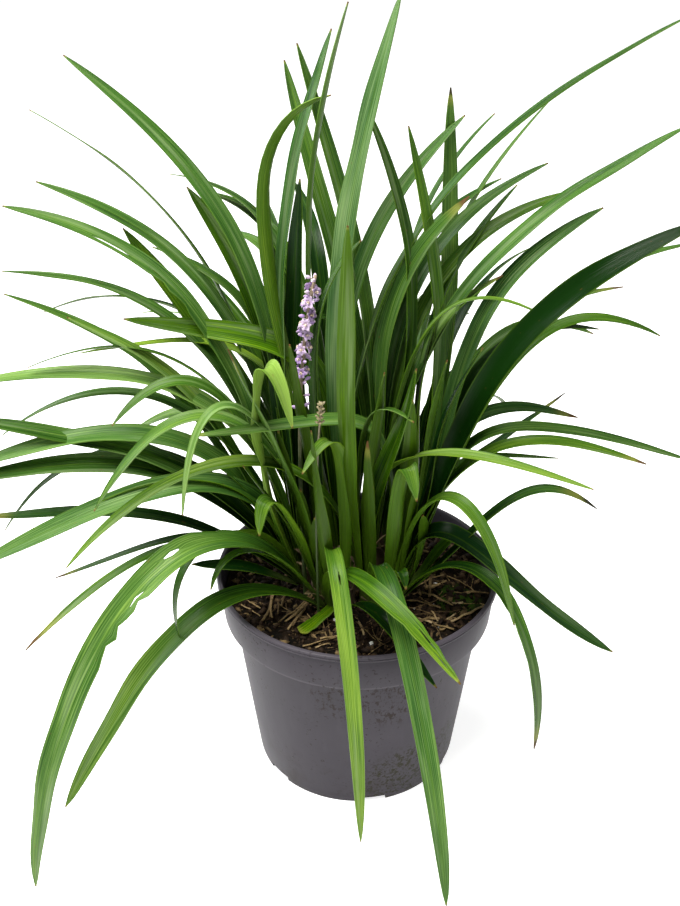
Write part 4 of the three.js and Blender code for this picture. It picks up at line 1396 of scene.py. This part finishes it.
def addStalk(shape, points, radius, taper, material):
    # a closed round stalk along a cubic curve
    rows = spikeSizes["stalkRows"]
    tube = bmesh.new()
    ends = {"radius1": 1, "radius2": 1, "depth": 1}
    bmesh.ops.create_cone(tube, cap_ends=True, segments=spikeSizes["stalkSides"], **ends)
    addRings(tube, (0, 0, 1), [i / rows - 0.5 for i in range(1, rows)])
    for vert in tube.verts:
        along = vert.co.z + 0.5
        place, tangent = bezier(points, along)
        side = Vector((1, 0, 0)) - tangent.x * tangent
        side.normalize()
        thick = radius * (1 - taper * along)
        vert.co = place + thick * (vert.co.x * side + vert.co.y * tangent.cross(side))
    master = meshFrom(tube, "stalk")
    stamp(shape, master, Matrix())
    discard(master)
    for face in shape.faces:
        face.material_index = material


def masterFloret():
    # a flower that opens along +Z, about one unit deep and wide
    sizes = spikeSizes
    petal = bmesh.new()
    bmesh.ops.create_grid(petal, x_segments=4, y_segments=2, size=0.5)
    share = petal.verts.layers.float.new("share")
    for vert in petal.verts:
        along = vert.co.x + 0.5
        half = 0.10 + 0.24 * math.sin(math.pi * min(along + 0.08, 1.0)) ** 0.8
        cup = 0.5 * (2 * vert.co.y) ** 2 * half
        rise = 0.78 * along - 0.42 * along**2 + cup
        vert[share] = along
        vert.co = Vector((0.10 + 0.86 * along, 2 * vert.co.y * half, rise))
    bmesh.ops.solidify(petal, geom=petal.faces[:], thickness=0.05)
    petalMesh = meshFrom(petal, "masterPetal")
    shape = bmesh.new()
    shape.verts.layers.float.new("share")
    for i in range(sizes["petals"]):
        size = 1.0 if i % 2 else 0.88
        turn = Matrix.Rotation(2 * math.pi * i / sizes["petals"], 4, "Z")
        stamp(shape, petalMesh, turn @ Matrix.Scale(size, 4))
    discard(petalMesh)
    count = len(shape.faces)
    heart = placed((0, 0, 0.12), (0.17, 0.17, 0.24))
    bmesh.ops.create_icosphere(shape, subdivisions=1, radius=1, matrix=heart)
    for i in range(3):
        angle = 2 * math.pi * (i + 0.25) / 3
        place = Matrix.Translation((0.14 * math.cos(angle), 0.14 * math.sin(angle), 0.5))
        anther = {"radius1": 0.05, "radius2": 0.09, "depth": 0.4}
        bmesh.ops.create_cone(shape, cap_ends=True, segments=5, matrix=place, **anther)
    shape.faces.ensure_lookup_table()
    for face in shape.faces[count:]:
        face.material_index = 1
    return meshFrom(shape, "masterFloret")


def masterBud(name, material):
    shape = bmesh.new()
    bmesh.ops.create_uvsphere(shape, u_segments=10, v_segments=7, radius=0.5)
    share = shape.verts.layers.float.new("share")
    for vert in shape.verts:
        along = vert.co.z + 0.5
        vert[share] = along
        vert.co.x *= 1 - 0.35 * along + 0.06 * math.cos(3 * math.atan2(vert.co.y, vert.co.x))
        vert.co.y *= 1 - 0.35 * along
        vert.co.z = along
    for face in shape.faces:
        face.material_index = material
    return meshFrom(shape, name)


def facing(place, direction, size, spin):
    # a matrix that stands a master at a place with its Z along a direction
    turn = direction.to_track_quat("Z", "Y").to_matrix().to_4x4()
    return placed(place, size, turn @ Matrix.Rotation(spin, 4, "Z"))


def whorls(first, count):
    # number of each whorl and its share of the stalk's length
    step = spikeSizes["lastWhorl"] - first
    return [(i, first + step * i / (count - 1)) for i in range(count)]


def buildMainSpike():
    sizes = spikeSizes
    draw = seededRandom(sizes["seed"])
    points = [Vector(point) for point in sizes["main"]]
    floret, bud, pedicel = masterFloret(), masterBud("masterBud", 0), masterBud("masterPedicel", 2)
    shape = bmesh.new()
    shape.verts.layers.float.new("share")
    chance = shape.verts.layers.float.new("chance")
    addStalk(shape, points, sizes["mainRadius"], sizes["mainTaper"], 2)
    for i, along in whorls(sizes["floretFrom"], sizes["floretWhorls"]):
        isOpen = sizes["closedWhorls"] <= i < sizes["floretWhorls"] - 1
        for k in range(sizes["perWhorl"] if isOpen else 3):
            place, tangent = bezier(points, min(along + 0.012 * (draw() - 0.5), 0.99))
            angle = i * sizes["whorlTurn"] + 2 * math.pi * (k + 0.35 * draw()) / sizes["perWhorl"]
            way = aimed(angle, math.radians(drawn(draw, *sizes["tilt"])))
            stem = drawn(draw, *sizes["pedicel"])
            stamp(shape, pedicel, facing(place, way, (0.8, 0.8, stem + 1.2), 0))
            value = draw()
            if isOpen and draw() < sizes["openShare"]:
                master, size = floret, [sizes["petalLength"] * drawn(draw, *sizes["petalSize"])] * 3
            else:
                master, size = bud, (2.3, 2.3, drawn(draw, *sizes["budLength"]))
                value = value * 0.5 + (0.6 if along > sizes["paleFrom"] else 0.1)
            for vert in stamp(shape, master, facing(place + stem * way, way, size, 6 * draw())):
                vert[chance] = value
    discard(floret, bud, pedicel)
    anther = plainFinish("anther", sizes["anther"], sizes["cream"], 1500, 0.5)
    finishes = [petalFinish(), anther, stalkFinish()]
    return finishPiece("openSpike", shape, finishes, "flower_spike_main")


def buildYoungSpike():
    sizes = spikeSizes
    draw = seededRandom(sizes["seed"] + 1)
    points = [Vector(point) for point in sizes["young"]]
    bud = masterBud("masterYoungBud", 0)
    shape = bmesh.new()
    addStalk(shape, points, sizes["youngRadius"], sizes["youngTaper"], 1)
    for i, along in whorls(sizes["budFrom"], sizes["budWhorls"]):
        for k in range(4):
            place, tangent = bezier(points, along)
            angle = i * sizes["whorlTurn"] + math.pi * (k + 0.3 * draw()) / 2
            way = aimed(angle, math.radians(drawn(draw, *sizes["youngTilt"])))
            size = (1.6, 1.6, 3.1 - 0.14 * i)
            stamp(shape, bud, facing(place + 0.3 * way, way, size, 6 * draw()))
    discard(bud)
    buds = plainFinish("youngBud", sizes["bud"], sizes["budTop"], 700, 0.5)
    return finishPiece("buddingSpike", shape, [buds, stalkFinish()], "flower_spike_young")


buildMainSpike()
buildYoungSpike()
